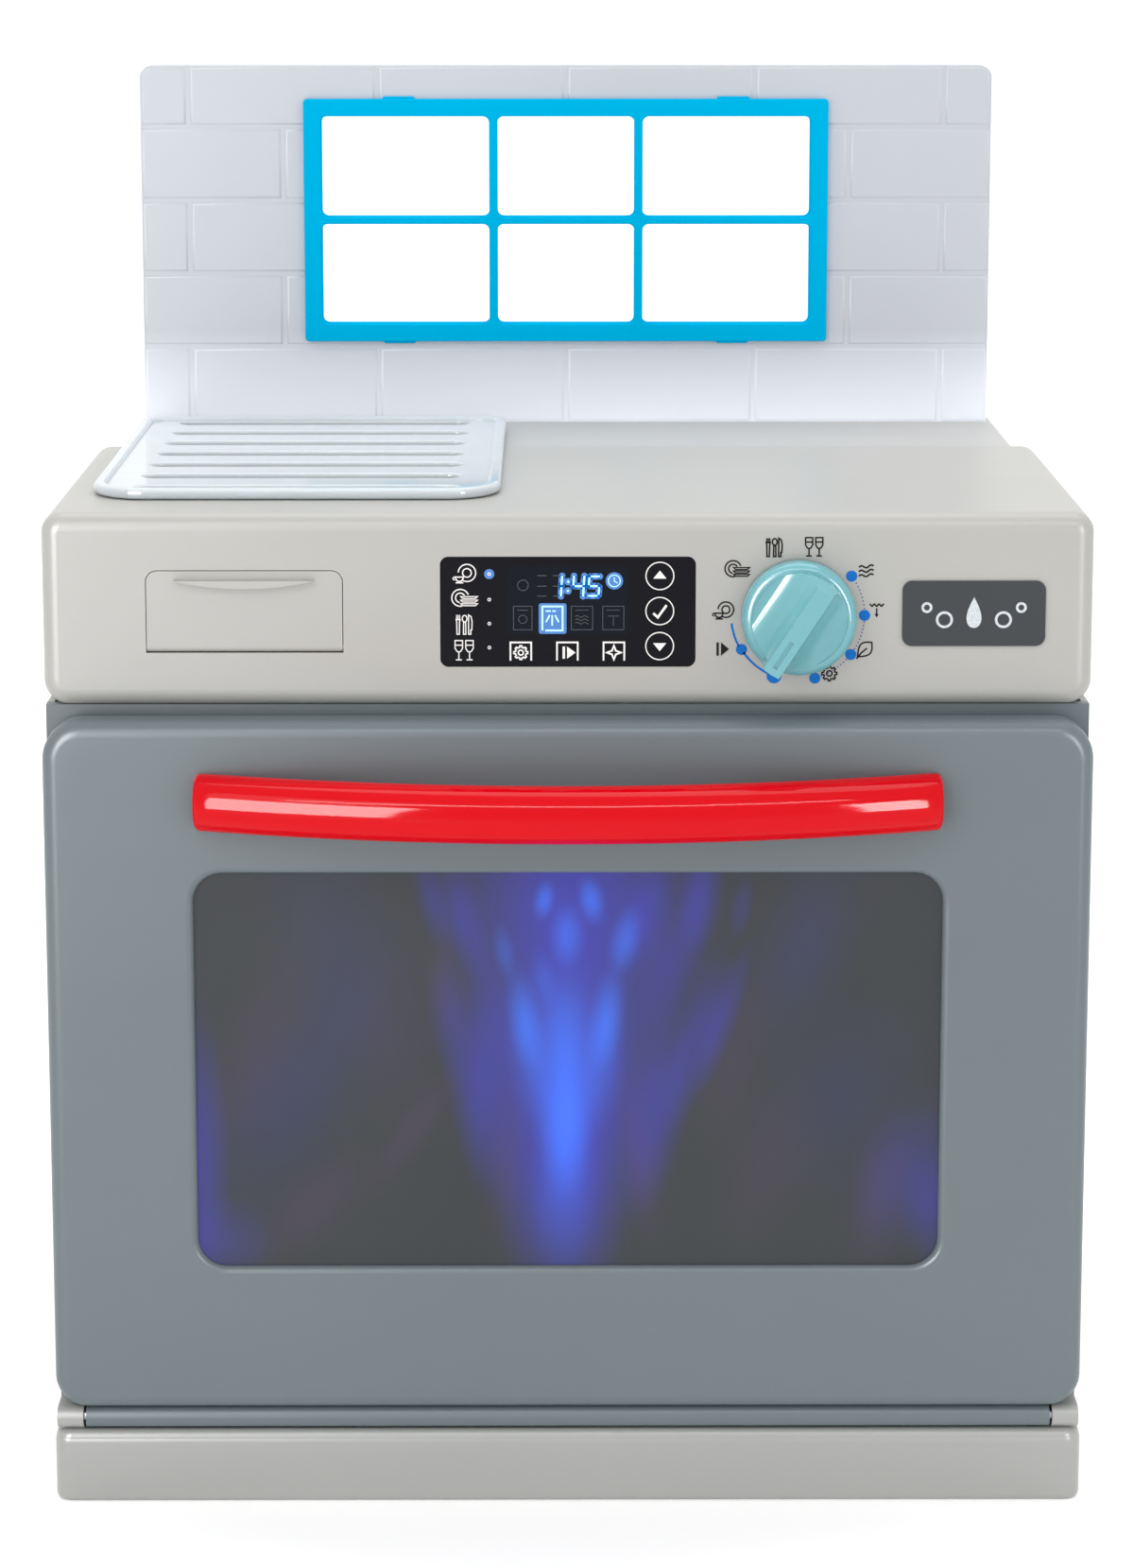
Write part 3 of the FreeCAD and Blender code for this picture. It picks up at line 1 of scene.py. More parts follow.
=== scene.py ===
import json
import math
import bmesh
import bpy
from mathutils import Euler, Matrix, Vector


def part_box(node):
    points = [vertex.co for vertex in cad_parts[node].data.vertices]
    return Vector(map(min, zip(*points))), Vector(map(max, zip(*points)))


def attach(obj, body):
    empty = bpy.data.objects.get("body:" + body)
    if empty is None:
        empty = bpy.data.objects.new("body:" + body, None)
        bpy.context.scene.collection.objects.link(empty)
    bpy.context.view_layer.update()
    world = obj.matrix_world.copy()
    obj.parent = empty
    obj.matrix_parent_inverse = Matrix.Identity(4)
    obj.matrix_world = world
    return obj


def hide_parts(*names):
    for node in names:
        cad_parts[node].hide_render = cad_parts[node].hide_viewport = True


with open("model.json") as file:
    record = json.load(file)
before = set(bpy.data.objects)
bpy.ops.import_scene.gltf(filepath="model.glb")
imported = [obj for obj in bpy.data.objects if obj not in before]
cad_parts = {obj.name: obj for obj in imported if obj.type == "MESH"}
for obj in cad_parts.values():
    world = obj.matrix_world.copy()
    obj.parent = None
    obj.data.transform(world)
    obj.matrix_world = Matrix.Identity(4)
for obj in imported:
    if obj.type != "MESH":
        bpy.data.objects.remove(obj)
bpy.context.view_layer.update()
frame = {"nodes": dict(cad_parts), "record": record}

# A toy dishwasher with a counter, a tiled back wall and a drying rack.
# Lengths in the drawing helpers are millimetres in the row frame; MM turns them into metres.
MM = 0.001
LINE = 0.42     # usual width of a printed line
PROUD = 0.12    # how far a print stands off its wall
SUNK = 0.3      # how far it reaches into it
FLAT = 0.06     # how far the layers under a lit print stand off
nodes = frame["nodes"]
scene = bpy.context.scene


def box_mm(node):
    """Lowest and highest corner of a CAD node, in millimetres."""
    low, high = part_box(node)
    return low / MM, high / MM


def add_object(name, data):
    made = bpy.data.objects.new(name, data)
    scene.collection.objects.link(made)
    return made


# ---------------------------------------------------------------- colours and materials

def paint(red, green, blue):
    """A screen colour from 0 to 255 as linear light."""
    def linear(value):
        value /= 255
        return value / 12.92 if value <= 0.04045 else ((value + 0.055) / 1.055) ** 2.4
    return (linear(red), linear(green), linear(blue), 1)


class Finish:
    """A material under construction, with short ways to add and join nodes."""

    def __init__(self, name, colour, roughness):
        self.material = bpy.data.materials.new(name)
        self.material.use_nodes = True
        self.tree = self.material.node_tree
        self.shader = self.tree.nodes["Principled BSDF"]
        self.set("Base Color", colour)
        self.set("Roughness", roughness)
        self.place = self.node("ShaderNodeTexCoord").outputs["Object"]

    def node(self, kind, **settings):
        made = self.tree.nodes.new(kind)
        for key, value in settings.items():
            setattr(made, key, value)
        return made

    def link(self, source, target):
        self.tree.links.new(source, target)

    def set(self, socket, value):
        self.shader.inputs[socket].default_value = value

    def noise(self, scale, detail=2.0, stretch=(1, 1, 1)):
        mapping = self.node("ShaderNodeMapping")
        mapping.inputs["Scale"].default_value = stretch
        self.link(self.place, mapping.inputs["Vector"])
        made = self.node("ShaderNodeTexNoise")
        made.inputs["Scale"].default_value = scale
        made.inputs["Detail"].default_value = detail
        self.link(mapping.outputs["Vector"], made.inputs["Vector"])
        return made.outputs["Fac"]

    def spread(self, source, low, high, start=0.35, end=0.65):
        """The source, remapped from start..end to low..high; by default from where noise mostly lies."""
        made = self.node("ShaderNodeMapRange")
        made.inputs["From Min"].default_value = start
        made.inputs["From Max"].default_value = end
        made.inputs["To Min"].default_value = low
        made.inputs["To Max"].default_value = high
        self.link(source, made.inputs["Value"])
        return made.outputs["Result"]

    def blend(self, factor, first, second):
        """A colour between first and second, each a colour or another node's output."""
        made = self.node("ShaderNodeMix", data_type="RGBA")
        self.link(factor, made.inputs["Factor"])
        for socket, value in (("A", first), ("B", second)):
            target = [item for item in made.inputs if item.name == socket and item.type == "RGBA"][0]
            if isinstance(value, tuple):
                target.default_value = value
            else:
                self.link(value, target)
        return [item for item in made.outputs if item.type == "RGBA"][0]

    def bump(self, height, strength, distance):
        made = self.node("ShaderNodeBump")
        made.inputs["Strength"].default_value = strength
        made.inputs["Distance"].default_value = distance
        self.link(height, made.inputs["Height"])
        self.link(made.outputs["Normal"], self.shader.inputs["Normal"])


def shade(colour, factor):
    return (*(min(1, channel * factor) for channel in colour[:3]), 1)


def plastic(name, colour, roughness=0.35, grain=0.06, mottle=0.03, coat=0.0, peel=1300, shine=0.5,
            lift=None):
    """Moulded plastic: soft changes of tone and gloss, fine dust, and the texture of its mould.

    Lift is a low and a high level in metres and how much lighter the plastic is at the low one: painted
    light, standing in for light bounced up from below.
    """
    finish = Finish(name, colour, roughness)
    finish.set("Specular IOR Level", shine)
    finish.set("Coat Weight", coat)
    finish.set("Coat Roughness", 0.08)
    tone = finish.noise(7, 3)
    flow = finish.noise(16, 4, (0.4, 1, 2.2))
    cloudy = finish.blend(finish.spread(tone, 0, 1, 0.2, 0.8),
                          shade(colour, 1 - mottle), shade(colour, 1 + mottle))
    dust = finish.noise(2600, 1)
    dust_and_painted_bounce = finish.blend(finish.spread(dust, 0, 0.35, 0.68, 0.78), cloudy, shade(colour, 0.8))
    # Painted light: lighter towards the low level, standing in for light bounced up from the counter.
    if lift:
        low, high, gain = lift
        level = finish.node("ShaderNodeSeparateXYZ")
        finish.link(finish.place, level.inputs["Vector"])
        dust_and_painted_bounce = finish.blend(finish.spread(level.outputs["Z"], 1, 0, low, high),
                             dust_and_painted_bounce, shade(colour, gain))
    finish.link(dust_and_painted_bounce, finish.shader.inputs["Base Color"])
    finish.link(finish.spread(flow, roughness * 0.92, roughness * 1.1, 0.2, 0.8),
                finish.shader.inputs["Roughness"])
    finish.bump(finish.noise(peel, 2), grain, 0.0003)
    return finish.material


def metal(name, colour, roughness):
    """Turned or plated metal with fine rubbing marks."""
    finish = Finish(name, colour, roughness)
    finish.set("Metallic", 1.0)
    marks = finish.noise(900, 3, (1, 6, 1))
    tone = finish.noise(40, 2)
    finish.link(finish.blend(finish.spread(tone, 0, 1), shade(colour, 0.86), shade(colour, 1.08)),
                finish.shader.inputs["Base Color"])
    finish.link(finish.spread(marks, roughness * 0.8, roughness * 1.4),
                finish.shader.inputs["Roughness"])
    finish.bump(marks, 0.08, 0.0002)
    return finish.material


def clear_plastic(name, colour, clear=0.6):
    """Tinted clear plastic with faint flow marks."""
    finish = Finish(name, colour, 0.05)
    finish.set("Transmission Weight", clear)
    finish.set("IOR", 1.45)
    flow = finish.noise(30, 3, (0.5, 1, 1))
    finish.link(finish.blend(finish.spread(flow, 0, 1), shade(colour, 0.97), shade(colour, 1.02)),
                finish.shader.inputs["Base Color"])
    finish.link(finish.spread(flow, 0.03, 0.06), finish.shader.inputs["Roughness"])
    finish.bump(finish.noise(60, 1), 0.02, 0.0003)
    return finish.material


def glowing(name, colour, strength):
    """A lit print, slightly uneven like a diffused lamp."""
    finish = Finish(name, shade(colour, 0.3), 0.4)
    uneven = finish.noise(500, 2)
    finish.link(finish.blend(finish.spread(uneven, 0, 1), shade(colour, 0.92), shade(colour, 1.06)),
                finish.shader.inputs["Emission Color"])
    finish.set("Emission Strength", strength)
    return finish.material


def ink(name, colour, roughness=0.42):
    """Screen-printed ink: slightly patchy and softly glossy."""
    finish = Finish(name, colour, roughness)
    finish.set("Specular IOR Level", 0.08)
    patch = finish.noise(1500, 3)
    finish.link(finish.blend(finish.spread(patch, 0, 1), shade(colour, 0.86), shade(colour, 1.1)),
                finish.shader.inputs["Base Color"])
    finish.bump(patch, 0.05, 0.0001)
    return finish.material


# Light seen through the smoked window, as soft petals.  Each is its centre from the middle of the
# window, its half length and half width in millimetres, its lean from upright in degrees, and its gain.
BLUE_PETALS = (
    (-1, -4, 44, 15, 0, 0.75), (-1, -26, 30, 11, 0, 0.4), (-2, -42, 40, 15, 0, 0.25),
    (-2, 20, 30, 17, 0, 0.2), (-15.5, 18, 24, 8, -8, 0.6), (13.5, 18, 24, 8, 8, 0.6),
    (-13, 0, 30, 10, -8, 0.25), (12, 0, 30, 10, 8, 0.25),
    (-8.6, 63, 9, 5, 10, 0.6), (8.3, 63, 11, 6, -10, 0.65), (-0.4, 50, 15, 8, 0, 0.5),
    (20.3, 48, 16, 7, 12, 0.5), (-22.8, 44, 13, 5, -10, 0.3), (-9, 34, 14, 6, -6, 0.2),
)
INDIGO_PETALS = (
    (0, 25, 92, 50, 0, 0.62), (2, 66, 44, 66, 0, 0.42), (-2, -44, 56, 28, 0, 0.62), (-1, -10, 70, 40, 0, 0.4),
    (-33, -10, 46, 12, -8, 0.4), (-27, 14, 46, 12, -6, 0.25), (32, -16, 48, 13, 10, 0.42),
    (46, 12, 42, 10, 16, 0.45), (55, 18, 36, 7, 18, 0.38), (38, 38, 38, 14, 18, 0.3),
    (28, 58, 26, 10, 14, 0.3), (-37, 55, 26, 9, -14, 0.35), (-48, 62, 22, 7, -14, 0.25),
    (47, 64, 26, 9, 8, 0.45), (62, 60, 16, 5, 10, 0.2),
    (-43, 20, 30, 9, -4, 0.2), (-133, -36, 70, 13, 0, 0.42), (-124, -64, 20, 22, 0, 0.25),
    (122, -38, 36, 22, 22, 0.25), (132, -52, 26, 14, 0, 0.3), (84, 44, 50, 24, 20, 0.1),
    (-80, 40, 60, 30, -20, 0.08), (-100, -10, 64, 30, 30, 0.1), (98, -10, 44, 34, 20, 0.08),
)
PLUM_PETALS = (
    (-56, -22, 38, 9, 34, 0.4), (-44, 30, 28, 11, -6, 0.3), (-92, -50, 36, 16, 44, 0.35),
    (-22, -34, 42, 10, 4, 0.35), (26, -32, 42, 10, -8, 0.35), (-112, 6, 54, 20, 20, 0.25),
    (72, -34, 42, 22, 20, 0.25),
    (112, -46, 38, 15, 10, 0.35), (60, 6, 46, 15, 14, 0.3), (-62, 12, 42, 22, 0, 0.2),
)


def petal_sum(finish, petals, centre):
    """The added brightness of all the petals at a point of the window."""
    total = None
    for across, up, long, wide, lean, gain in petals:
        mapping = finish.node("ShaderNodeMapping", vector_type="TEXTURE")
        mapping.inputs["Location"].default_value = (
            centre.x + across * MM, centre.y, centre.z + up * MM)
        mapping.inputs["Rotation"].default_value = (0, math.radians(lean), 0)
        mapping.inputs["Scale"].default_value = (wide * MM, 1, long * MM)
        finish.link(finish.place, mapping.inputs["Vector"])
        ball = finish.node("ShaderNodeTexGradient", gradient_type="SPHERICAL")
        finish.link(mapping.outputs["Vector"], ball.inputs["Vector"])
        soft = finish.node("ShaderNodeMapRange", interpolation_type="SMOOTHSTEP")
        soft.inputs["To Max"].default_value = gain
        finish.link(ball.outputs["Fac"], soft.inputs["Value"])
        add = finish.node("ShaderNodeMath", operation="ADD")
        finish.link(soft.outputs["Result"], add.inputs[0])
        if total is None:
            add.inputs[1].default_value = 0
        else:
            finish.link(total, add.inputs[1])
        total = add.outputs["Value"]
    return total


def smoke_window(name, centre):
    """Smoked plastic with the blue pattern of the photo glowing in it."""
    colour = paint(57, 60, 63)
    finish = Finish(name, colour, 0.3)
    finish.set("Specular IOR Level", 0.14)
    tone = finish.noise(9, 3)
    cloudy = finish.blend(finish.spread(tone, 0, 1, 0.2, 0.8), shade(colour, 0.94), shade(colour, 1.06))
    finish.link(cloudy, finish.shader.inputs["Base Color"])
    finish.link(finish.spread(finish.noise(18, 2), 0.27, 0.33, 0.2, 0.8),
                finish.shader.inputs["Roughness"])
    finish.bump(finish.noise(900, 2), 0.03, 0.0002)
    warp = finish.noise(26, 2, (1, 1, 0.35))
    indigo = petal_sum(finish, INDIGO_PETALS, centre)
    blue = petal_sum(finish, BLUE_PETALS, centre)
    plum = petal_sum(finish, PLUM_PETALS, centre)
    layers = None
    for amount, light in ((indigo, (0.014, 0.008, 0.42, 1)), (blue, (0.0, 0.135, 0.62, 1)),
                          (plum, (0.045, 0.008, 0.055, 1))):
        limit = finish.node("ShaderNodeMath", operation="MULTIPLY", use_clamp=True)
        finish.link(amount, limit.inputs[0])
        finish.link(finish.spread(warp, 0.88, 1.12), limit.inputs[1])
        piece = finish.blend(limit.outputs["Value"], (0, 0, 0, 1), light)
        if layers is None:
            layers = piece
        else:
            add = finish.node("ShaderNodeVectorMath", operation="ADD")
            finish.link(layers, add.inputs[0])
            finish.link(piece, add.inputs[1])
            layers = add.outputs["Vector"]
    # Painted light: the glow of the lamp behind the window, painted into the lens as emission.
    finish.link(layers, finish.shader.inputs["Emission Color"])
    finish.set("Emission Strength", 1.0)
    return finish.material


pane_low, pane_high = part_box("door_window")

FINISHES = {
    "console_plastic": plastic("console_plastic", paint(167, 166, 162), 0.36, 0.07, shine=0.3),
    "base_plastic": plastic("base_plastic", paint(156, 157, 154), 0.32, 0.07, shine=0.4),
    "rear_plastic": plastic("rear_plastic", paint(174, 174, 172), 0.42, 0.1),
    "liner_plastic": plastic("liner_plastic", paint(176, 178, 180), 0.5, 0.12),
    "door_plastic": plastic("door_plastic", paint(102, 112, 116), 0.32, 0.05, shine=0.24),
    "smoke_window": smoke_window("smoke_window", (pane_low + pane_high) / 2),
    "handle_plastic": plastic("handle_plastic", paint(200, 0, 16), 0.07, 0.004, 0.02, shine=0.13),
    "knob_plastic": plastic("knob_plastic", paint(106, 165, 172), 0.2, 0.02, shine=0.4),
    "display_plastic": plastic("display_plastic", paint(12, 12, 19), 0.2, 0.01, shine=0.1),
    "badge_plastic": plastic("badge_plastic", paint(44, 48, 52), 0.3, 0.03, shine=0.3),
    # Painted light: the wall is lighter towards its foot, standing in for light bounced up from the counter.
    "backsplash_plastic": plastic("backsplash_plastic", paint(186, 189, 196), 0.34, 0.04, shine=0.14,
                                  lift=(0.364, 0.402, 1.72)),
    "window_frame_plastic": plastic("window_frame_plastic", paint(0, 168, 214), 0.25, 0.03, shine=0.0),
    "drying_rack_plastic": clear_plastic("drying_rack_plastic", paint(208, 215, 219), 0.2),
    "basket_plastic": plastic("basket_plastic", paint(190, 198, 208), 0.35, 0.05),
    "bright_trim": metal("bright_trim", paint(215, 215, 218), 0.2),
    "lamp_plastic": clear_plastic("lamp_plastic", paint(150, 195, 245)),
    "screw_steel": metal("screw_steel", paint(170, 172, 175), 0.3),
    "board_green": plastic("board_green", paint(30, 92, 58), 0.4, 0.05, 0.08),
    "black_plastic": plastic("black_plastic", paint(34, 34, 37), 0.4, 0.08),
    "battery_jacket": plastic("battery_jacket", paint(52, 82, 130), 0.3, 0.03),
    "lead_rubber": plastic("lead_rubber", paint(180, 34, 30), 0.45, 0.04),
}
# Painted light: the white print glows, brighter than the lamps alone would make it.
WHITE_INK_PAINTED_GLOW = glowing("white_ink_painted_glow", paint(250, 245, 242), 0.62)
DARK_INK = ink("dark_ink", paint(16, 12, 10))
BLUE_INK = ink("blue_ink", paint(0, 104, 186))
VIOLET_INK = ink("violet_ink", paint(70, 72, 150))
LIT_STROKE = glowing("lit_stroke", paint(176, 234, 255), 1.0)
LIT_HALO = glowing("lit_halo", paint(0, 106, 186), 0.85)
DIM_SEGMENT = glowing("dim_segment", paint(12, 34, 44), 0.5)
GLASS_BLACK = plastic("display_glass", paint(8, 14, 24), 0.12, 0.005, shine=0.12)
BADGE_INK = ink("badge_ink", paint(200, 206, 210))


# ---------------------------------------------------------------- drawing in thin raised solids

class Print:
    """Flat shapes standing slightly proud of a wall that faces forward, gathered into one mesh.

    Points are (across, up) in millimetres from the middle given.
    """

    def __init__(self, x, y, z, weight=1.0):
        self.mesh = bmesh.new()
        self.x, self.y, self.z = x, y, z
        self.weight = weight

    def _corner(self, point, lift):
        return self.mesh.verts.new(Vector((self.x + point[0], self.y - lift, self.z + point[1])) * MM)

    def shape(self, outline, lift=PROUD):
        front = [self._corner(point, lift) for point in outline]
        back = [self._corner(point, -SUNK) for point in outline]
        self.mesh.faces.new(front)
        self.mesh.faces.new(list(reversed(back)))
        for number in range(len(outline)):
            after = (number + 1) % len(outline)
            self.mesh.faces.new((front[number], front[after], back[after], back[number]))

    def stroke(self, points, width=LINE, closed=False, lift=PROUD):
        """A ribbon with mitred corners along the points."""
        points = [Vector(point) for point in points]
        count = len(points)
        left, right = [], []
        for number, point in enumerate(points):
            before = points[number - 1] if closed or number > 0 else None
            after = points[(number + 1) % count] if closed or number < count - 1 else None
            come = (point - before).normalized() if before is not None else (after - point).normalized()
            go = (after - point).normalized() if after is not None else come
            side = Vector((-come.y - go.y, come.x + go.x))
            side = side.normalized() if side.length > 1e-6 else Vector((-come.y, come.x))
            reach = self.weight * width / 2 / max(0.4, side.dot(Vector((-come.y, come.x))))
            left.append(point + side * reach)
            right.append(point - side * reach)
        for number in range(count if closed else count - 1):
            after = (number + 1) % count
            self.shape([left[number], left[after], right[after], right[number]], lift)

    def ring(self, across, up, radius, width=LINE, start=0, end=360, lift=PROUD, steps=40):
        whole = abs(end - start) >= 360
        number = max(6, round(steps * abs(end - start) / 360))
        turns = [math.radians(start + (end - start) * step / number)
                 for step in range(number + (not whole))]
        self.stroke([(across + radius * math.cos(t), up + radius * math.sin(t)) for t in turns],
                    width, whole, lift)

    def disc(self, across, up, radius, lift=PROUD, steps=28):
        turns = [2 * math.pi * step / steps for step in range(steps)]
        self.shape([(across + radius * math.cos(t), up + radius * math.sin(t)) for t in turns], lift)

    def gear(self, across, up, radius, width=LINE):
        outline = []
        for tooth in range(8):
            for turn, reach in ((-13, 0.78), (-8, 1), (8, 1), (13, 0.78)):
                angle = math.radians(tooth * 45 + turn)
                outline.append((across + radius * reach * math.cos(angle),
                                up + radius * reach * math.sin(angle)))
        self.stroke(outline, width, True)
        self.ring(across, up, radius * 0.36, width)

    def plate_and_cup(self, across, up, size=1.0, width=LINE):
        """A plate with a cup in front of its lower left."""
        self.ring(across, up, 3.1 * size, width, -118, 176)
        self.ring(across, up, 1.55 * size, width)
        cup_x, cup_z = across - 2.7 * size, up - 2.2 * size
        bowl = [(cup_x - 1.4 * math.cos(t), cup_z + 0.7 - 1.6 * math.sin(t))
                for t in (math.pi * step / 8 for step in range(9))]
        self.stroke(bowl, width, True)
        self.ring(cup_x - 1.75, cup_z + 0.2, 0.5, width * 0.8, 70, 290)
        self.stroke([(cup_x - 1.3, cup_z - 1.35), (cup_x + 1.4, cup_z - 1.35)], width)

    def plate_and_stack(self, across, up, size=1.0, width=LINE):
        """A plate with three stacked plates in front of its lower right."""
        self.ring(across, up, 3.05 * size, width, 22, 282)
        self.ring(across, up, 1.7 * size, width, 30, 262)
        stack_x = across + 3.05 * size
        for number in range(3):
            level = up + (0.15 - 1.3 * number) * size
            self.stroke([(stack_x - 2.9 * size, level + 0.3), (stack_x + 3.1 * size, level + 0.3),
                         (stack_x + 2.3 * size, level - 0.4), (stack_x - 2.2 * size, level - 0.4)],
                        width * 0.8, True)

    def cutlery(self, across, up, high=7.0, width=0.38):
        top = up + high / 2
        low = up - high / 2
        fork = across - 2.3
        for step in (-1, 0, 1):
            self.stroke([(fork + step * 0.55, top), (fork + step * 0.55, top - high * 0.24)],
                        width * 0.8)
        self.stroke([(fork - 0.7, top - high * 0.24), (fork - 0.5, top - high * 0.38),
                     (fork - 0.42, low), (fork + 0.42, low),
                     (fork + 0.5, top - high * 0.38), (fork + 0.7, top - high * 0.24)],
                    width, True)
        self.stroke([(across + 0.85 * math.sin(t), top - 1.35 + 1.2 * math.cos(t))
                     for t in (2 * math.pi * step / 16 for step in range(16))], width, True)
        self.stroke([(across - 0.35, top - 2.6), (across - 0.42, low), (across + 0.42, low),
                     (across + 0.35, top - 2.6)], width, True)
        knife = across + 1.95
        self.stroke([(knife - 0.55, top), (knife + 0.35, top - 0.6), (knife + 0.7, top - 2.4),
                     (knife + 0.6, low + 1.6), (knife + 0.25, low + 1.5), (knife + 0.25, low),
                     (knife - 0.55, low)], width, True)

    def glass(self, across, up, high=7.0, width=0.38):
        top = up + high / 2
        low = up - high / 2
        half = high * 0.19
        bowl = [(across - half, top), (across - half, top - high * 0.4),
                (across - half * 0.5, top - high * 0.56), (across, top - high * 0.6),
                (across + half * 0.5, top - high * 0.56),
                (across + half, top - high * 0.4), (across + half, top)]
        self.stroke(bowl, width, True)
        self.stroke([(across - half, top - high * 0.24), (across + half, top - high * 0.24)], width)
        self.stroke([(across, top - high * 0.6), (across, low)], width)
        self.stroke([(across - half * 0.8, low), (across + half * 0.8, low)], width)

    def play(self, across, up, high, width):
        """A bar and a triangle that points right."""
        left, low, top = across - width / 2, up - high / 2, up + high / 2
        bar, gap = 0.85, 1.6
        self.shape([(left, low), (left, top), (left + bar, top), (left + bar, low)])
        self.shape([(left + gap, low), (left + gap, top), (across + width / 2, up)])

    def waves(self, across, up, long, step, width=LINE):
        for line in (-1, 0, 1):
            points = []
            for number in range(17):
                turn = number / 16
                points.append((across - long / 2 + long * turn,
                               up + line * step + 0.42 * math.sin(turn * 3 * math.pi) + turn * 0.5))
            self.stroke(points, width)

    def done(self, name, material, body):
        bmesh.ops.recalc_face_normals(self.mesh, faces=self.mesh.faces)
        data = bpy.data.meshes.new(name)
        self.mesh.to_mesh(data)
        self.mesh.free()
        data.materials.append(material)
        made = add_object(name, data)
        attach(made, body)
        return made


# ---------------------------------------------------------------- display

def make_display():
    low, high = box_mm("display_lens")
    y = low.y
    x = 0
    z = (low.z + high.z) / 2
    glass = Print(x, y, z)
    glass.shape([(-22, -8.5), (21.6, -8.5), (21.6, 16.3), (-22, 16.3)], 0.03)
    glass.done("display_window", GLASS_BLACK, "cabinet")

    dim = Print(x, y, z)
    for left, right in ((-19.4, -12.8), (1.2, 8.8), (12.4, 19.9)):
        dim.stroke([(left, -6.6), (left, 1.9), (right, 1.9), (right, -6.6)], 0.22, True, FLAT)
        dim.stroke([(left + 1.4, 0.5), (right - 1.4, 0.5)], 0.22, lift=FLAT)
    dim.ring(-16.1, -2.8, 1.5, 0.22, lift=FLAT)
    for line in (-1, 0, 1):
        dim.stroke([(2.6 + step * 0.6, -3 + line * 1.2 + 0.35 * math.sin(step * 1.4))
                    for step in range(9)], 0.22, lift=FLAT)
    dim.stroke([(14.2, -1.6), (18.2, -1.6)], 0.22, lift=FLAT)
    dim.stroke([(16.2, -1.6), (16.2, -5.2)], 0.22, lift=FLAT)
    dim.ring(-16, 9.5, 1.9, 0.22, lift=FLAT)
    for left in (-11, -5.4):
        for level in (13, 9.2, 5.6):
            dim.stroke([(left, level), (left + 3.4, level)], 0.25, lift=FLAT)
    dim.done("display_dim_segments", DIM_SEGMENT, "cabinet")

    segments = []
    slant = 0.06

    def lean(points):
        return [(across + (up - 5.5) * slant, up) for across, up in points]

    segments.append(lean([(-2.5, 12.9), (-2.5, 9.7)]))
    segments.append(lean([(-2.5, 8.8), (-2.5, 5.5)]))
    four, five = 1.7, 7.2
    wide = 3.7
    segments += [lean([(four, 12.9), (four, 9.5)]),
                 lean([(four + 0.5, 9.2), (four + wide - 0.5, 9.2)]),
                 lean([(four + wide, 12.9), (four + wide, 9.6)]),
                 lean([(four + wide, 8.8), (four + wide, 5.5)]),
                 lean([(five + 0.5, 12.7), (five + wide, 12.7)]),
                 lean([(five, 12.3), (five, 9.6)]),
                 lean([(five + 0.5, 9.2), (five + wide - 0.5, 9.2)]),
                 lean([(five + wide, 8.8), (five + wide, 6.1)]),
                 lean([(five, 5.7), (five + wide - 0.4, 5.7)])]
    spray = [[(-8, -6.85), (-1.9, -6.85), (-1.9, 1.85), (-9.1, 1.85), (-9.1, -6.85)],
             [(-7.9, 0.2), (-6.1, 0.2)], [(-5.6, 0.2), (-4.3, 0.2)],
             [(-5.6, -1.3), (-5.6, -5.1)], [(-6.5, -1.3), (-7.8, -3.8)], [(-4.6, -1.3), (-3.3, -3.8)]]

    halo = Print(x, y, z)
    for points in segments:
        halo.stroke([points[0], points[1]], 2.3, lift=FLAT)
        for end in points:
            halo.disc(*end, 1.15, FLAT)
    halo.disc(0.1, 10.8, 1.3, FLAT)
    halo.disc(0, 7.5, 1.3, FLAT)
    halo.disc(16.5, 11.1, 3.1, FLAT)
    corner = 0.8
    frame_box = []
    for across, up, start in ((-0.5, 3, 0), (-10.4, 3, 90), (-10.4, -8.1, 180), (-0.5, -8.1, 270)):
        inner_x = across - math.copysign(corner, across + 5.45)
        inner_z = up - math.copysign(corner, up + 2.55)
        for step in range(5):
            turn = math.radians(start + 90 * step / 4)
            frame_box.append((inner_x + corner * math.cos(turn), inner_z + corner * math.sin(turn)))
    halo.shape(frame_box, FLAT)
    halo.disc(-28, 13.57, 1.8, FLAT)
    halo.done("display_halo", LIT_HALO, "cabinet")

    lit = Print(x, y, z)
    for points in segments:
        lit.stroke(points, 0.72)
    lit.disc(0.15, 10.8, 0.42)
    lit.disc(0.0, 7.5, 0.42)
    lit.ring(16.5, 11.1, 2.1, 0.34)
    lit.stroke([(16.5, 12.4), (16.5, 11.0), (17.6, 10.3)], 0.34)
    for points in spray:
        lit.stroke(points, 0.62 if len(points) > 2 else 0.55)
    lit.done("display_digits", LIT_STROKE, "cabinet")

    white = Print(x, y, z)
    white.plate_and_cup(-35.9, 14.0)
    white.plate_and_stack(-38.3, 5.0)
    white.cutlery(-36.8, -4.7)
    white.glass(-38.9, -14.0)
    white.glass(-35.1, -14.0)
    for up in (13.57, 4.34, -4.37, -13.07):
        white.ring(-28, up, 0.48, 0.3, steps=20)
    for middle in (-16.8, -0.2, 16.4):
        white.stroke([(middle - 3.7, -17.8), (middle - 3.7, -11.2),
                      (middle + 3.7, -11.2), (middle + 3.7, -17.8)], 0.6)
    white.gear(-16.8, -14.9, 2.5, 0.5)
    white.play(0.4, -14.9, 4.4, 4.6)
    star = []
    for quarter in range(4):
        for turn, reach in ((0, 2.5), (45, 0.95)):
            angle = math.radians(quarter * 90 + turn)
            star.append((16.4 + reach * math.cos(angle), -14.9 + reach * math.sin(angle)))
    white.stroke(star, 0.62, True)
    white.done("display_symbols", WHITE_INK_PAINTED_GLOW, "cabinet")


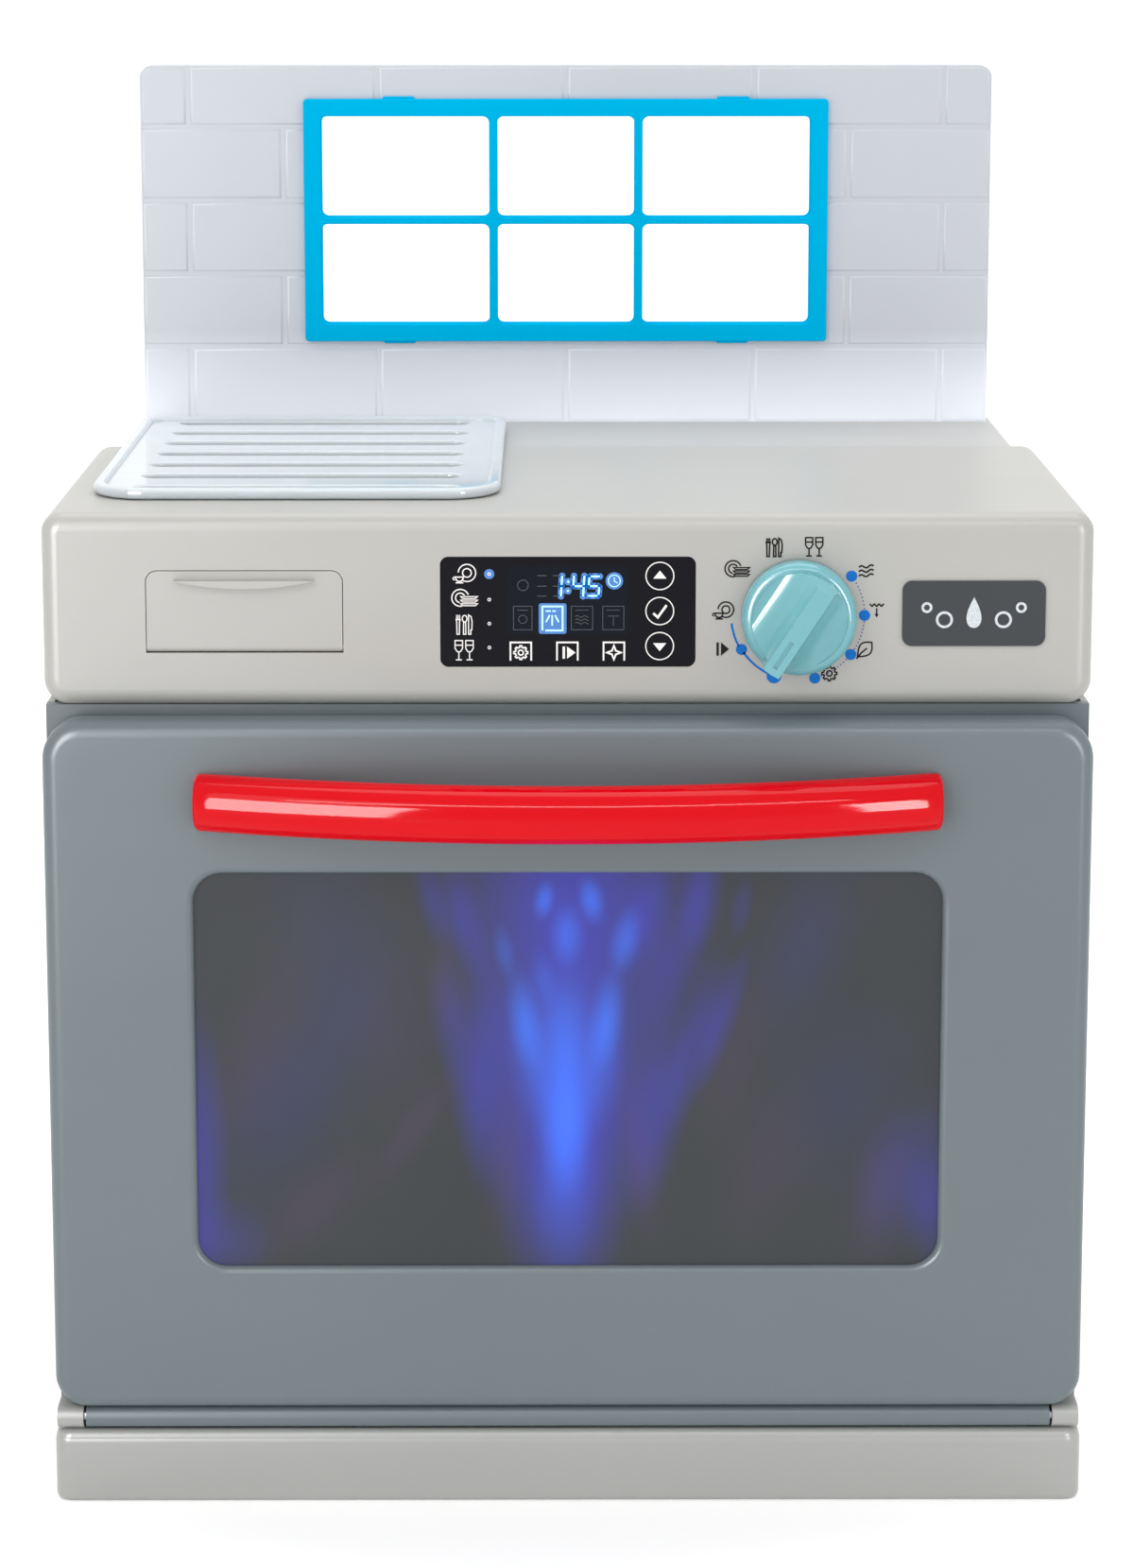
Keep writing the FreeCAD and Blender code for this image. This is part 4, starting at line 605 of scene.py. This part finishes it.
def make_button_symbols():
    for node in ("button_up", "button_select", "button_down"):
        low, high = box_mm(node)
        mark = Print((low.x + high.x) / 2, low.y, (low.z + high.z) / 2)
        mark.ring(0, 0, 4.95, 0.4, steps=56)
        if node == "button_up":
            mark.shape([(-2.35, -0.95), (0, 1.95), (2.35, -0.95)])
        elif node == "button_down":
            mark.shape([(-2.35, 1.05), (0, -1.85), (2.35, 1.05)])
        else:
            mark.stroke([(-2.3, -0.8), (-0.7, -2.3), (2.4, 2.1)], 0.85)
        mark.done(f"{node}_symbol", WHITE_INK_PAINTED_GLOW, node)


# ---------------------------------------------------------------- dial prints

def make_dial_prints():
    low, high = box_mm("programme_knob")
    knob_x = (low.x + high.x) / 2
    knob_z = (low.z + high.z) / 2
    face = box_mm("console_housing")[0].y
    ring = 23.6
    blue = Print(knob_x, face, knob_z)
    stops = (37, 0, -37, -75, -111, -148.5)
    for turn in stops:
        angle = math.radians(turn)
        blue.disc(ring * math.cos(angle), ring * math.sin(angle), 2.65 if turn == -111 else 2.0)
    blue.ring(0, 0, ring, 0.8, -117, -145.5)
    blue.ring(0, 0, ring + 0.3, 0.75, -152, -173)
    blue.done("dial_stops", BLUE_INK, "cabinet")

    dots = Print(knob_x, face, knob_z)
    for start, end in ((29.5, 6), (-6, -31), (-43, -69)):
        steps = round(abs(end - start) / 3.3)
        for step in range(steps + 1):
            angle = math.radians(start + (end - start) * step / steps)
            dots.disc(ring * math.cos(angle), ring * math.sin(angle), 0.26, steps=10)
    dots.done("dial_dots", VIOLET_INK, "cabinet")

    dark = Print(knob_x, face, knob_z, 1.3)
    dark.cutlery(-8.6, 24.6, 6.6, 0.42)
    dark.glass(3.6, 24.8, 6.6, 0.4)
    dark.glass(7.2, 24.8, 6.6, 0.4)
    dark.plate_and_stack(-23.3, 16.9, 0.95)
    dark.plate_and_cup(-25.8, 2.1, 0.9)
    dark.play(-26.8, -12.2, 4.9, 4.5)
    dark.waves(24.0, 15.8, 5.2, 1.6, 0.45)
    wave = [(25.4 + step * 0.32, 3.7 + 0.4 * math.cos(step * math.pi / 2.6)) for step in range(17)]
    dark.stroke(wave, 0.42)
    dark.stroke([(27.9, 2.6), (27.9, 0.2)], 0.4)
    dark.shape([(27.2, 0.5), (28.6, 0.5), (27.9, -0.8)])
    leaf = []
    for step in range(13):
        turn = step / 12
        leaf.append((21.3 + 5.0 * turn - 1.35 * math.sin(math.pi * turn), -15.0 + 5.2 * turn
                     + 1.9 * math.sin(math.pi * turn)))
    for step in range(1, 12):
        turn = 1 - step / 12
        leaf.append((21.3 + 5.0 * turn + 1.9 * math.sin(math.pi * turn), -15.0 + 5.2 * turn
                     - 1.5 * math.sin(math.pi * turn)))
    dark.stroke(leaf, 0.42, True)
    dark.stroke([(20.9, -15.8), (22.6, -13.6), (24.6, -11.9)], 0.42)
    dark.gear(11.3, -21.1, 2.7, 0.42)
    dark.done("dial_symbols", DARK_INK, "cabinet")


def make_badge():
    """A plain plate with a water drop and bubbles."""
    low, high = box_mm("badge_plate")
    mark = Print((low.x + high.x) / 2, low.y, (low.z + high.z) / 2)
    drop = []
    for step in range(28):
        turn = 2 * math.pi * step / 28
        across = 3.6 * math.sin(turn) * math.sin(turn / 2) ** 1.2
        drop.append((across, 5.6 * math.cos(turn) + 0.4))
    mark.shape(drop)
    for across, up, radius in ((-10.5, -2.2, 2.6), (10.5, -2.2, 2.6),
                               (-16.8, 2.2, 1.5), (16.8, 2.2, 1.5)):
        mark.ring(across, up, radius, 0.9)
    mark.done("badge_bubbles", BADGE_INK, "cabinet")


# ---------------------------------------------------------------- mesh pieces

def rings_to_object(name, rings, material, looped=False):
    """Joins rings of equal length into a closed skin: the last to the first, or with both ends capped."""
    mesh = bmesh.new()
    rows = [[mesh.verts.new(Vector(point) * MM) for point in ring] for ring in rings]
    for first, second in zip(rows, rows[1:] + rows[:1] if looped else rows[1:]):
        for number in range(len(first)):
            after = (number + 1) % len(first)
            mesh.faces.new((first[number], first[after], second[after], second[number]))
    if not looped:
        mesh.faces.new(list(reversed(rows[0])))
        mesh.faces.new(rows[-1])
    bmesh.ops.recalc_face_normals(mesh, faces=mesh.faces)
    for face in mesh.faces:
        face.smooth = True
    data = bpy.data.meshes.new(name)
    mesh.to_mesh(data)
    mesh.free()
    data.materials.append(material)
    return add_object(name, data)


def rounded_rectangle(low_x, high_x, low_z, high_z, low_corner, high_corner, steps=8):
    """Corner points in order, anticlockwise seen from the front; each corner has its own arc."""
    corners = ((high_x, low_z, low_corner, -90), (high_x, high_z, high_corner, 0),
               (low_x, high_z, high_corner, 90), (low_x, low_z, low_corner, 180))
    points = []
    for x, z, corner, start in corners:
        middle_x = x - math.copysign(corner, x - (low_x + high_x) / 2)
        middle_z = z - math.copysign(corner, z - (low_z + high_z) / 2)
        for step in range(steps + 1):
            turn = math.radians(start + 90 * step / steps)
            points.append((middle_x + corner * math.cos(turn), middle_z + corner * math.sin(turn)))
    return points


def plate(name, outlines, front, back, edge, material, body, lying=False):
    """A flat plate with holes and rounded edges between two depths, or two levels if it is lying."""
    curve = bpy.data.curves.new(name, "CURVE")
    curve.dimensions = "2D"
    curve.fill_mode = "BOTH"
    curve.extrude = ((back - front) / 2 - edge) * MM
    curve.bevel_depth = edge * MM
    curve.bevel_resolution = 3
    curve.offset = -edge * MM
    for outline in outlines:
        spline = curve.splines.new("POLY")
        spline.points.add(len(outline) - 1)
        for point, (across, up) in zip(spline.points, outline):
            point.co = (across * MM, up * MM, 0, 1)
        spline.use_cyclic_u = True
    draft = add_object(f"{name}_draft", curve)
    bpy.context.view_layer.update()
    data = bpy.data.meshes.new_from_object(draft.evaluated_get(bpy.context.evaluated_depsgraph_get()))
    bpy.data.objects.remove(draft)
    middle = (front + back) / 2 * MM
    for vertex in data.vertices:
        across, up, deep = vertex.co
        vertex.co = (across, up, middle + deep) if lying else (across, middle - deep, up)
    mesh = bmesh.new()
    mesh.from_mesh(data)
    bmesh.ops.remove_doubles(mesh, verts=mesh.verts, dist=0.000001)
    bmesh.ops.recalc_face_normals(mesh, faces=mesh.faces)
    mesh.to_mesh(data)
    mesh.free()
    data.materials.clear()
    data.materials.append(material)
    for face in data.polygons:
        face.use_smooth = abs(face.normal.z if lying else face.normal.y) < 0.999
    made = add_object(name, data)
    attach(made, body)
    return made


def make_tiles():
    """Soft-edged brick tiles laid over the back wall's face, trimmed under the window frame."""
    low, high = box_mm("backsplash")
    frame_low, frame_high = box_mm("window_frame")
    hidden = 3.0
    hole = (frame_low.x + hidden, frame_high.x - hidden, frame_low.z + hidden, frame_high.z - hidden)
    long, tall, joint = 77.9, 30.4, 1.3
    first = high.z - 25.1
    levels = [high.z + joint / 2 - 0.25, first, first - tall, first - 2 * tall, first - 3 * tall,
              box_mm("rear_shell")[1].z - joint / 2]
    outlines = []
    for row in range(5):
        top, foot = levels[row] - joint / 2, levels[row + 1] + joint / 2
        steps = [-2, -1, 0, 1, 2] if row % 2 == 0 else [-1.5, -0.5, 0.5, 1.5]
        edges = [low.x + 0.2 - joint / 2] + [step * long for step in steps] + [high.x - 0.2 + joint / 2]
        for start, end in zip(edges, edges[1:]):
            left, right = start + joint / 2, end - joint / 2
            outlines.append(trimmed(left, right, foot, top, hole, row == 0, low.x, high.x))
    material = FINISHES["backsplash_plastic"]
    plate("wall_tiles", [outline for outline in outlines if outline], low.y - 0.35, low.y + 2.1, 1.2,
          material, "cabinet")
    foot = levels[5]
    plate("wall_grout", [rounded_rectangle(low.x + 0.5, high.x - 0.5, foot, high.z - 0.5, 1, 4.5),
                         rounded_rectangle(hole[0], hole[1], hole[2], hole[3], 1, 1)],
          low.y + 0.05, low.y + 1.2, 0.3, material, "cabinet")


def trimmed(left, right, foot, top, hole, first_row, wall_left, wall_right):
    """The tile's outline less the window: a rectangle, an L, or nothing."""
    hole_left, hole_right, hole_foot, hole_top = hole
    if right > hole_left and left < hole_right and top > hole_foot and foot < hole_top:
        if left >= hole_left and right <= hole_right:
            if top > hole_top:
                return [(left, hole_top), (right, hole_top), (right, top), (left, top)]
            if foot < hole_foot:
                return [(left, foot), (right, foot), (right, hole_foot), (left, hole_foot)]
            return []
        cut = hole_left if left < hole_left else hole_right
        near_left = left < hole_left
        if top <= hole_top and foot >= hole_foot:
            return ([(left, foot), (cut, foot), (cut, top), (left, top)] if near_left
                    else [(cut, foot), (right, foot), (right, top), (cut, top)])
        if top > hole_top:
            return ([(left, foot), (cut, foot), (cut, hole_top),
                     (right, hole_top), (right, top), (left, top)]
                    if near_left else
                    [(left, hole_top), (cut, hole_top), (cut, foot),
                     (right, foot), (right, top), (left, top)])
        return ([(left, foot), (right, foot), (right, hole_foot),
                 (cut, hole_foot), (cut, top), (left, top)]
                if near_left else
                [(left, foot), (right, foot), (right, top),
                 (cut, top), (cut, hole_foot), (left, hole_foot)])
    outline = [(left, foot), (right, foot), (right, top), (left, top)]
    corner = 4.6
    if first_row and left < wall_left + 1:
        arc = [(left + corner - corner * math.sin(t), top - corner + corner * math.cos(t))
               for t in (math.pi / 2 * step / 6 for step in range(7))]
        outline = [(left, foot), (right, foot), (right, top)] + arc
    if first_row and right > wall_right - 1:
        arc = [(right - corner + corner * math.cos(t), top - corner + corner * math.sin(t))
               for t in (math.pi / 2 * step / 6 for step in range(7))]
        outline = [(left, foot), (right, foot)] + arc + [(left, top)]
    return outline


def make_window_frame():
    """The snap-in frame: a flange in front of the tiles, a sleeve through the wall, and small clips."""
    low, high = box_mm("window_frame")
    bar, lap, corner = 7.1, 2.6, 1.6
    mullion_x, mullion, transom_z, transom = 30.0, 3.4, low.z + 50.2, 2.8
    columns = ((low.x + bar, -mullion_x - mullion / 2), (mullion / 2 - mullion_x, mullion_x - mullion / 2),
               (mullion_x + mullion / 2, high.x - bar))
    rows = ((low.z + bar, transom_z - transom / 2), (transom_z + transom / 2, high.z - bar))
    panes = [rounded_rectangle(left, right, foot, top, 2.6, 2.6)
             for left, right in columns for foot, top in rows]
    material = FINISHES["window_frame_plastic"]
    face = low.y
    flange = plate("window_flange",
                   [rounded_rectangle(low.x, high.x, low.z, high.z, corner, corner), *panes],
                   face, face + 3.1, 0.5, material, "cabinet")
    plate("window_sleeve",
          [rounded_rectangle(low.x + lap, high.x - lap, low.z + lap, high.z - lap, 1, 1), *panes],
          face + 3, high.y, 0.4, material, "cabinet")
    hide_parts("window_frame")
    clips = []
    clip_x, clip_half = 69, 6.5
    for side in (-1, 1):
        for foot, top in ((high.z - 1, high.z + 1), (low.z - 0.9, low.z + 1)):
            clips.append(rounded_rectangle(side * clip_x - clip_half, side * clip_x + clip_half,
                                           foot, top, 0.6, 0.6))
    plate("window_clips", clips, face + 1, face + 3, 0.3, material, "cabinet")


def make_drying_rack():
    """A tray with a rolled rim, rounded corners and seven long slots."""
    low, high = box_mm("drying_rack")
    front_corner, back_corner, rim, slots, pitch, half = 20.0, 12.0, 5.0, 7, 28.0, 5.5
    material = FINISHES["drying_rack_plastic"]

    def outline(inset):
        return rounded_rectangle(low.x + inset, high.x - inset, low.y + inset, high.y - inset,
                                 front_corner - inset, back_corner - inset, 12)

    raised = plate("rack_rim", [outline(0), outline(rim)], low.z, high.z, 1.7, material,
                   "drying_rack", True)
    first = low.y + 12.5
    left_margin, right_margin = 16, 15.4
    holes = [rounded_rectangle(low.x + left_margin, high.x - right_margin, first + number * pitch - half,
                               first + number * pitch + half, half - 0.3, half - 0.3)
             for number in range(slots)]
    plate("rack_dish", [outline(rim - 2), *holes], low.z + 0.1, low.z + 2.6, 1.1, material,
          "drying_rack", True)
    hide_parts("drying_rack")


def make_base_nose():
    """The base's front skirt, with a broad soft upper edge."""
    low, high = box_mm("base_tray")
    top, corner, upper, lower, proud, back = 27.0, 6.0, 4.5, 2.0, 0.3, 12.0

    def ring(inset, level):
        points = rounded_rectangle(low.x - proud + inset, high.x + proud - inset, low.y - proud + inset,
                                   low.y + back, corner - min(inset, 4), 0.5, 8)
        return [(x, y, level) for x, y in points]

    rings = []
    for step in range(5):
        turn = math.pi / 2 * step / 4
        rings.append(ring(lower - lower * math.sin(turn), 0.2 + lower - lower * math.cos(turn)))
    for step in range(9):
        turn = math.pi / 2 * step / 8
        rings.append(ring(upper - upper * math.cos(turn), top - upper + upper * math.sin(turn)))
    skirt = rings_to_object("base_skirt", rings, FINISHES["base_plastic"])
    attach(skirt, "cabinet")


def make_door_front():
    """The door's outer shell, with a rolled outer edge and a softly rolled window opening."""
    low, high = box_mm("door_outer")
    pane_x, pane_low, pane_high, pane_corner = 133.8, low.z + 54.4, low.z + 201, 10.5
    edge, roll, wall = 5.5, 2.6, 2.5
    low_corner, high_corner = 12.0, 14.0
    front, back = low.y, high.y

    def outer(inset, y):
        points = rounded_rectangle(low.x + inset, high.x - inset, low.z + inset, high.z - inset,
                                   max(1, low_corner - inset), max(1, high_corner - inset), 12)
        return [(x, y, z) for x, z in points]

    def inner(outset, y):
        points = rounded_rectangle(-pane_x - outset, pane_x + outset, pane_low - outset, pane_high + outset,
                                   pane_corner + outset, pane_corner + outset, 12)
        return [(x, y, z) for x, z in points]

    rings = [outer(wall, back), outer(0.4, back), outer(0, back - 0.4)]
    for step in range(9):
        turn = math.pi / 2 * step / 8
        rings.append(outer(edge - edge * math.cos(turn), front + edge - edge * math.sin(turn)))
    rings.append(outer(edge + 6, front))
    for step in range(9):
        turn = math.pi / 2 * step / 8
        rings.append(inner(roll - roll * math.sin(turn), front + roll - roll * math.cos(turn)))
    rings += [inner(4, front + roll), outer(edge + 6, front + wall), outer(wall, front + edge)]
    made = rings_to_object("door_front", rings, FINISHES["door_plastic"], looped=True)
    crisp = made.modifiers.new("crisp", "WEIGHTED_NORMAL")
    crisp.keep_sharp = True
    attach(made, "door")
    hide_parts("door_outer")


def make_handle():
    """The bowed rod with rounded ends, cut flat where it meets the door."""
    low, high = box_mm("door_handle")
    half = high.x
    rod = (high.z - low.z) / 2
    middle = (low.z + high.z) / 2
    bow = 444.3
    centre_y = low.y + rod + bow
    face = box_mm("door_outer")[0].y
    edge = 2.2
    places = [-half + edge * (1 - math.cos(math.pi / 2 * step / 5)) for step in range(6)]
    sizes = [rod - edge + edge * math.sin(math.pi / 2 * step / 5) for step in range(6)]
    inner = [-half + edge + (2 * half - 2 * edge) * step / 60 for step in range(1, 60)]
    stations = list(zip(places, sizes)) + [(x, rod) for x in inner]
    stations += [(-x, size) for x, size in reversed(list(zip(places, sizes)))]
    rings = []
    for x, size in stations:
        line_y = centre_y - math.sqrt(bow * bow - x * x)
        stretch = bow / math.sqrt(bow * bow - x * x)
        ring = []
        for step in range(48):
            turn = 2 * math.pi * step / 48
            y = min(line_y + size * stretch * math.cos(turn), face + 0.8)
            ring.append((x, y, middle + size * math.sin(turn)))
        rings.append(ring)
    handle = rings_to_object("handle_bar", rings, FINISHES["handle_plastic"])
    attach(handle, "door")
    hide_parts("door_handle")


# ---------------------------------------------------------------- CAD nodes

def dress_cad_nodes():
    """Give every CAD node the finish of its slot, and soften the edges of the knob."""
    for part in frame["record"]["subparts"]:
        item = nodes[part["node"]]
        item.data.materials.clear()
        item.data.materials.append(FINISHES[part["material_slot"]])
    knob = nodes["programme_knob"]
    weld = knob.modifiers.new("weld", "WELD")
    weld.merge_threshold = 0.00001
    soft = knob.modifiers.new("soft", "BEVEL")
    soft.width = 0.5 * MM
    soft.segments = 3
    soft.angle_limit = math.radians(40)
    soft.harden_normals = True


# ---------------------------------------------------------------- camera, light and floor

def make_camera():
    """A long-lens view from in front and above, turned down and shifted to frame the object."""
    focal_pixels = 3971.0
    frame_height = 1659.0
    sensor = 36
    data = bpy.data.cameras.new("camera")
    data.sensor_fit = "AUTO"
    data.sensor_width = sensor
    data.lens = sensor * focal_pixels / frame_height
    data.shift_y = -0.19
    data.clip_start = 0.05
    data.clip_end = 200
    camera = add_object("camera", data)
    camera.location = Vector((-4.66, -1417.8, 583.8)) * MM
    camera.rotation_euler = Euler((math.pi / 2 - 0.1581, 0, -0.0033))
    scene.camera = camera


def area_light(name, place, aim, size, power, mirror_only=False):
    """A softbox.  One that is mirror-only shows in glossy surfaces and adds nothing else."""
    data = bpy.data.lights.new(name, "AREA")
    data.shape = "RECTANGLE"
    data.size, data.size_y = size
    data.energy = power
    light = add_object(name, data)
    light.location = place
    light.rotation_euler = (Vector(aim) - Vector(place)).to_track_quat("-Z", "Y").to_euler()
    light.visible_camera = False
    light.visible_diffuse = not mirror_only


def make_lights():
    centre = (0, 0, 0.28)
    door_face = (0, -0.14, 0.26)
    area_light("key", (-0.9, -1.4, 1.6), centre, (0.8, 0.8), 5)
    area_light("top", (0.1, 0.3, 1.8), centre, (1.6, 0.8), 12)
    area_light("top_strip", (0, -1.3, 1.5), door_face, (1.8, 0.1), 14, True)
    area_light("left_panel", (-0.84, -1.5, 0.6), door_face, (0.7, 1.2), 90, True)
    area_light("right_panel", (0.98, -1.4, 0.5), door_face, (0.24, 0.9), 28, True)
    world = bpy.data.worlds.new("studio")
    scene.world = world
    world.use_nodes = True
    background = world.node_tree.nodes["Background"]
    background.inputs["Color"].default_value = (1, 1, 1, 1)
    background.inputs["Strength"].default_value = 1.12


def make_floor():
    far = 60
    mesh = bpy.data.meshes.new("floor")
    corners = [(-far, -far, 0), (far, -far, 0), (far, far, 0), (-far, far, 0)]
    mesh.from_pydata(corners, [], [(0, 1, 2, 3)])
    floor = add_object("floor", mesh)
    white = plastic("floor_white", (0.97, 0.97, 0.97, 1), 0.9, 0.02, 0.004)
    shader = white.node_tree.nodes["Principled BSDF"]
    shader.inputs["Emission Color"].default_value = (1, 1, 1, 1)
    shader.inputs["Emission Strength"].default_value = 0.1
    mesh.materials.append(white)


make_camera()
make_lights()
make_floor()
dress_cad_nodes()
make_display()
make_button_symbols()
make_dial_prints()
make_badge()
make_handle()
make_door_front()
make_tiles()
make_window_frame()
make_drying_rack()
make_base_nose()
scene.view_settings.view_transform = "Standard"
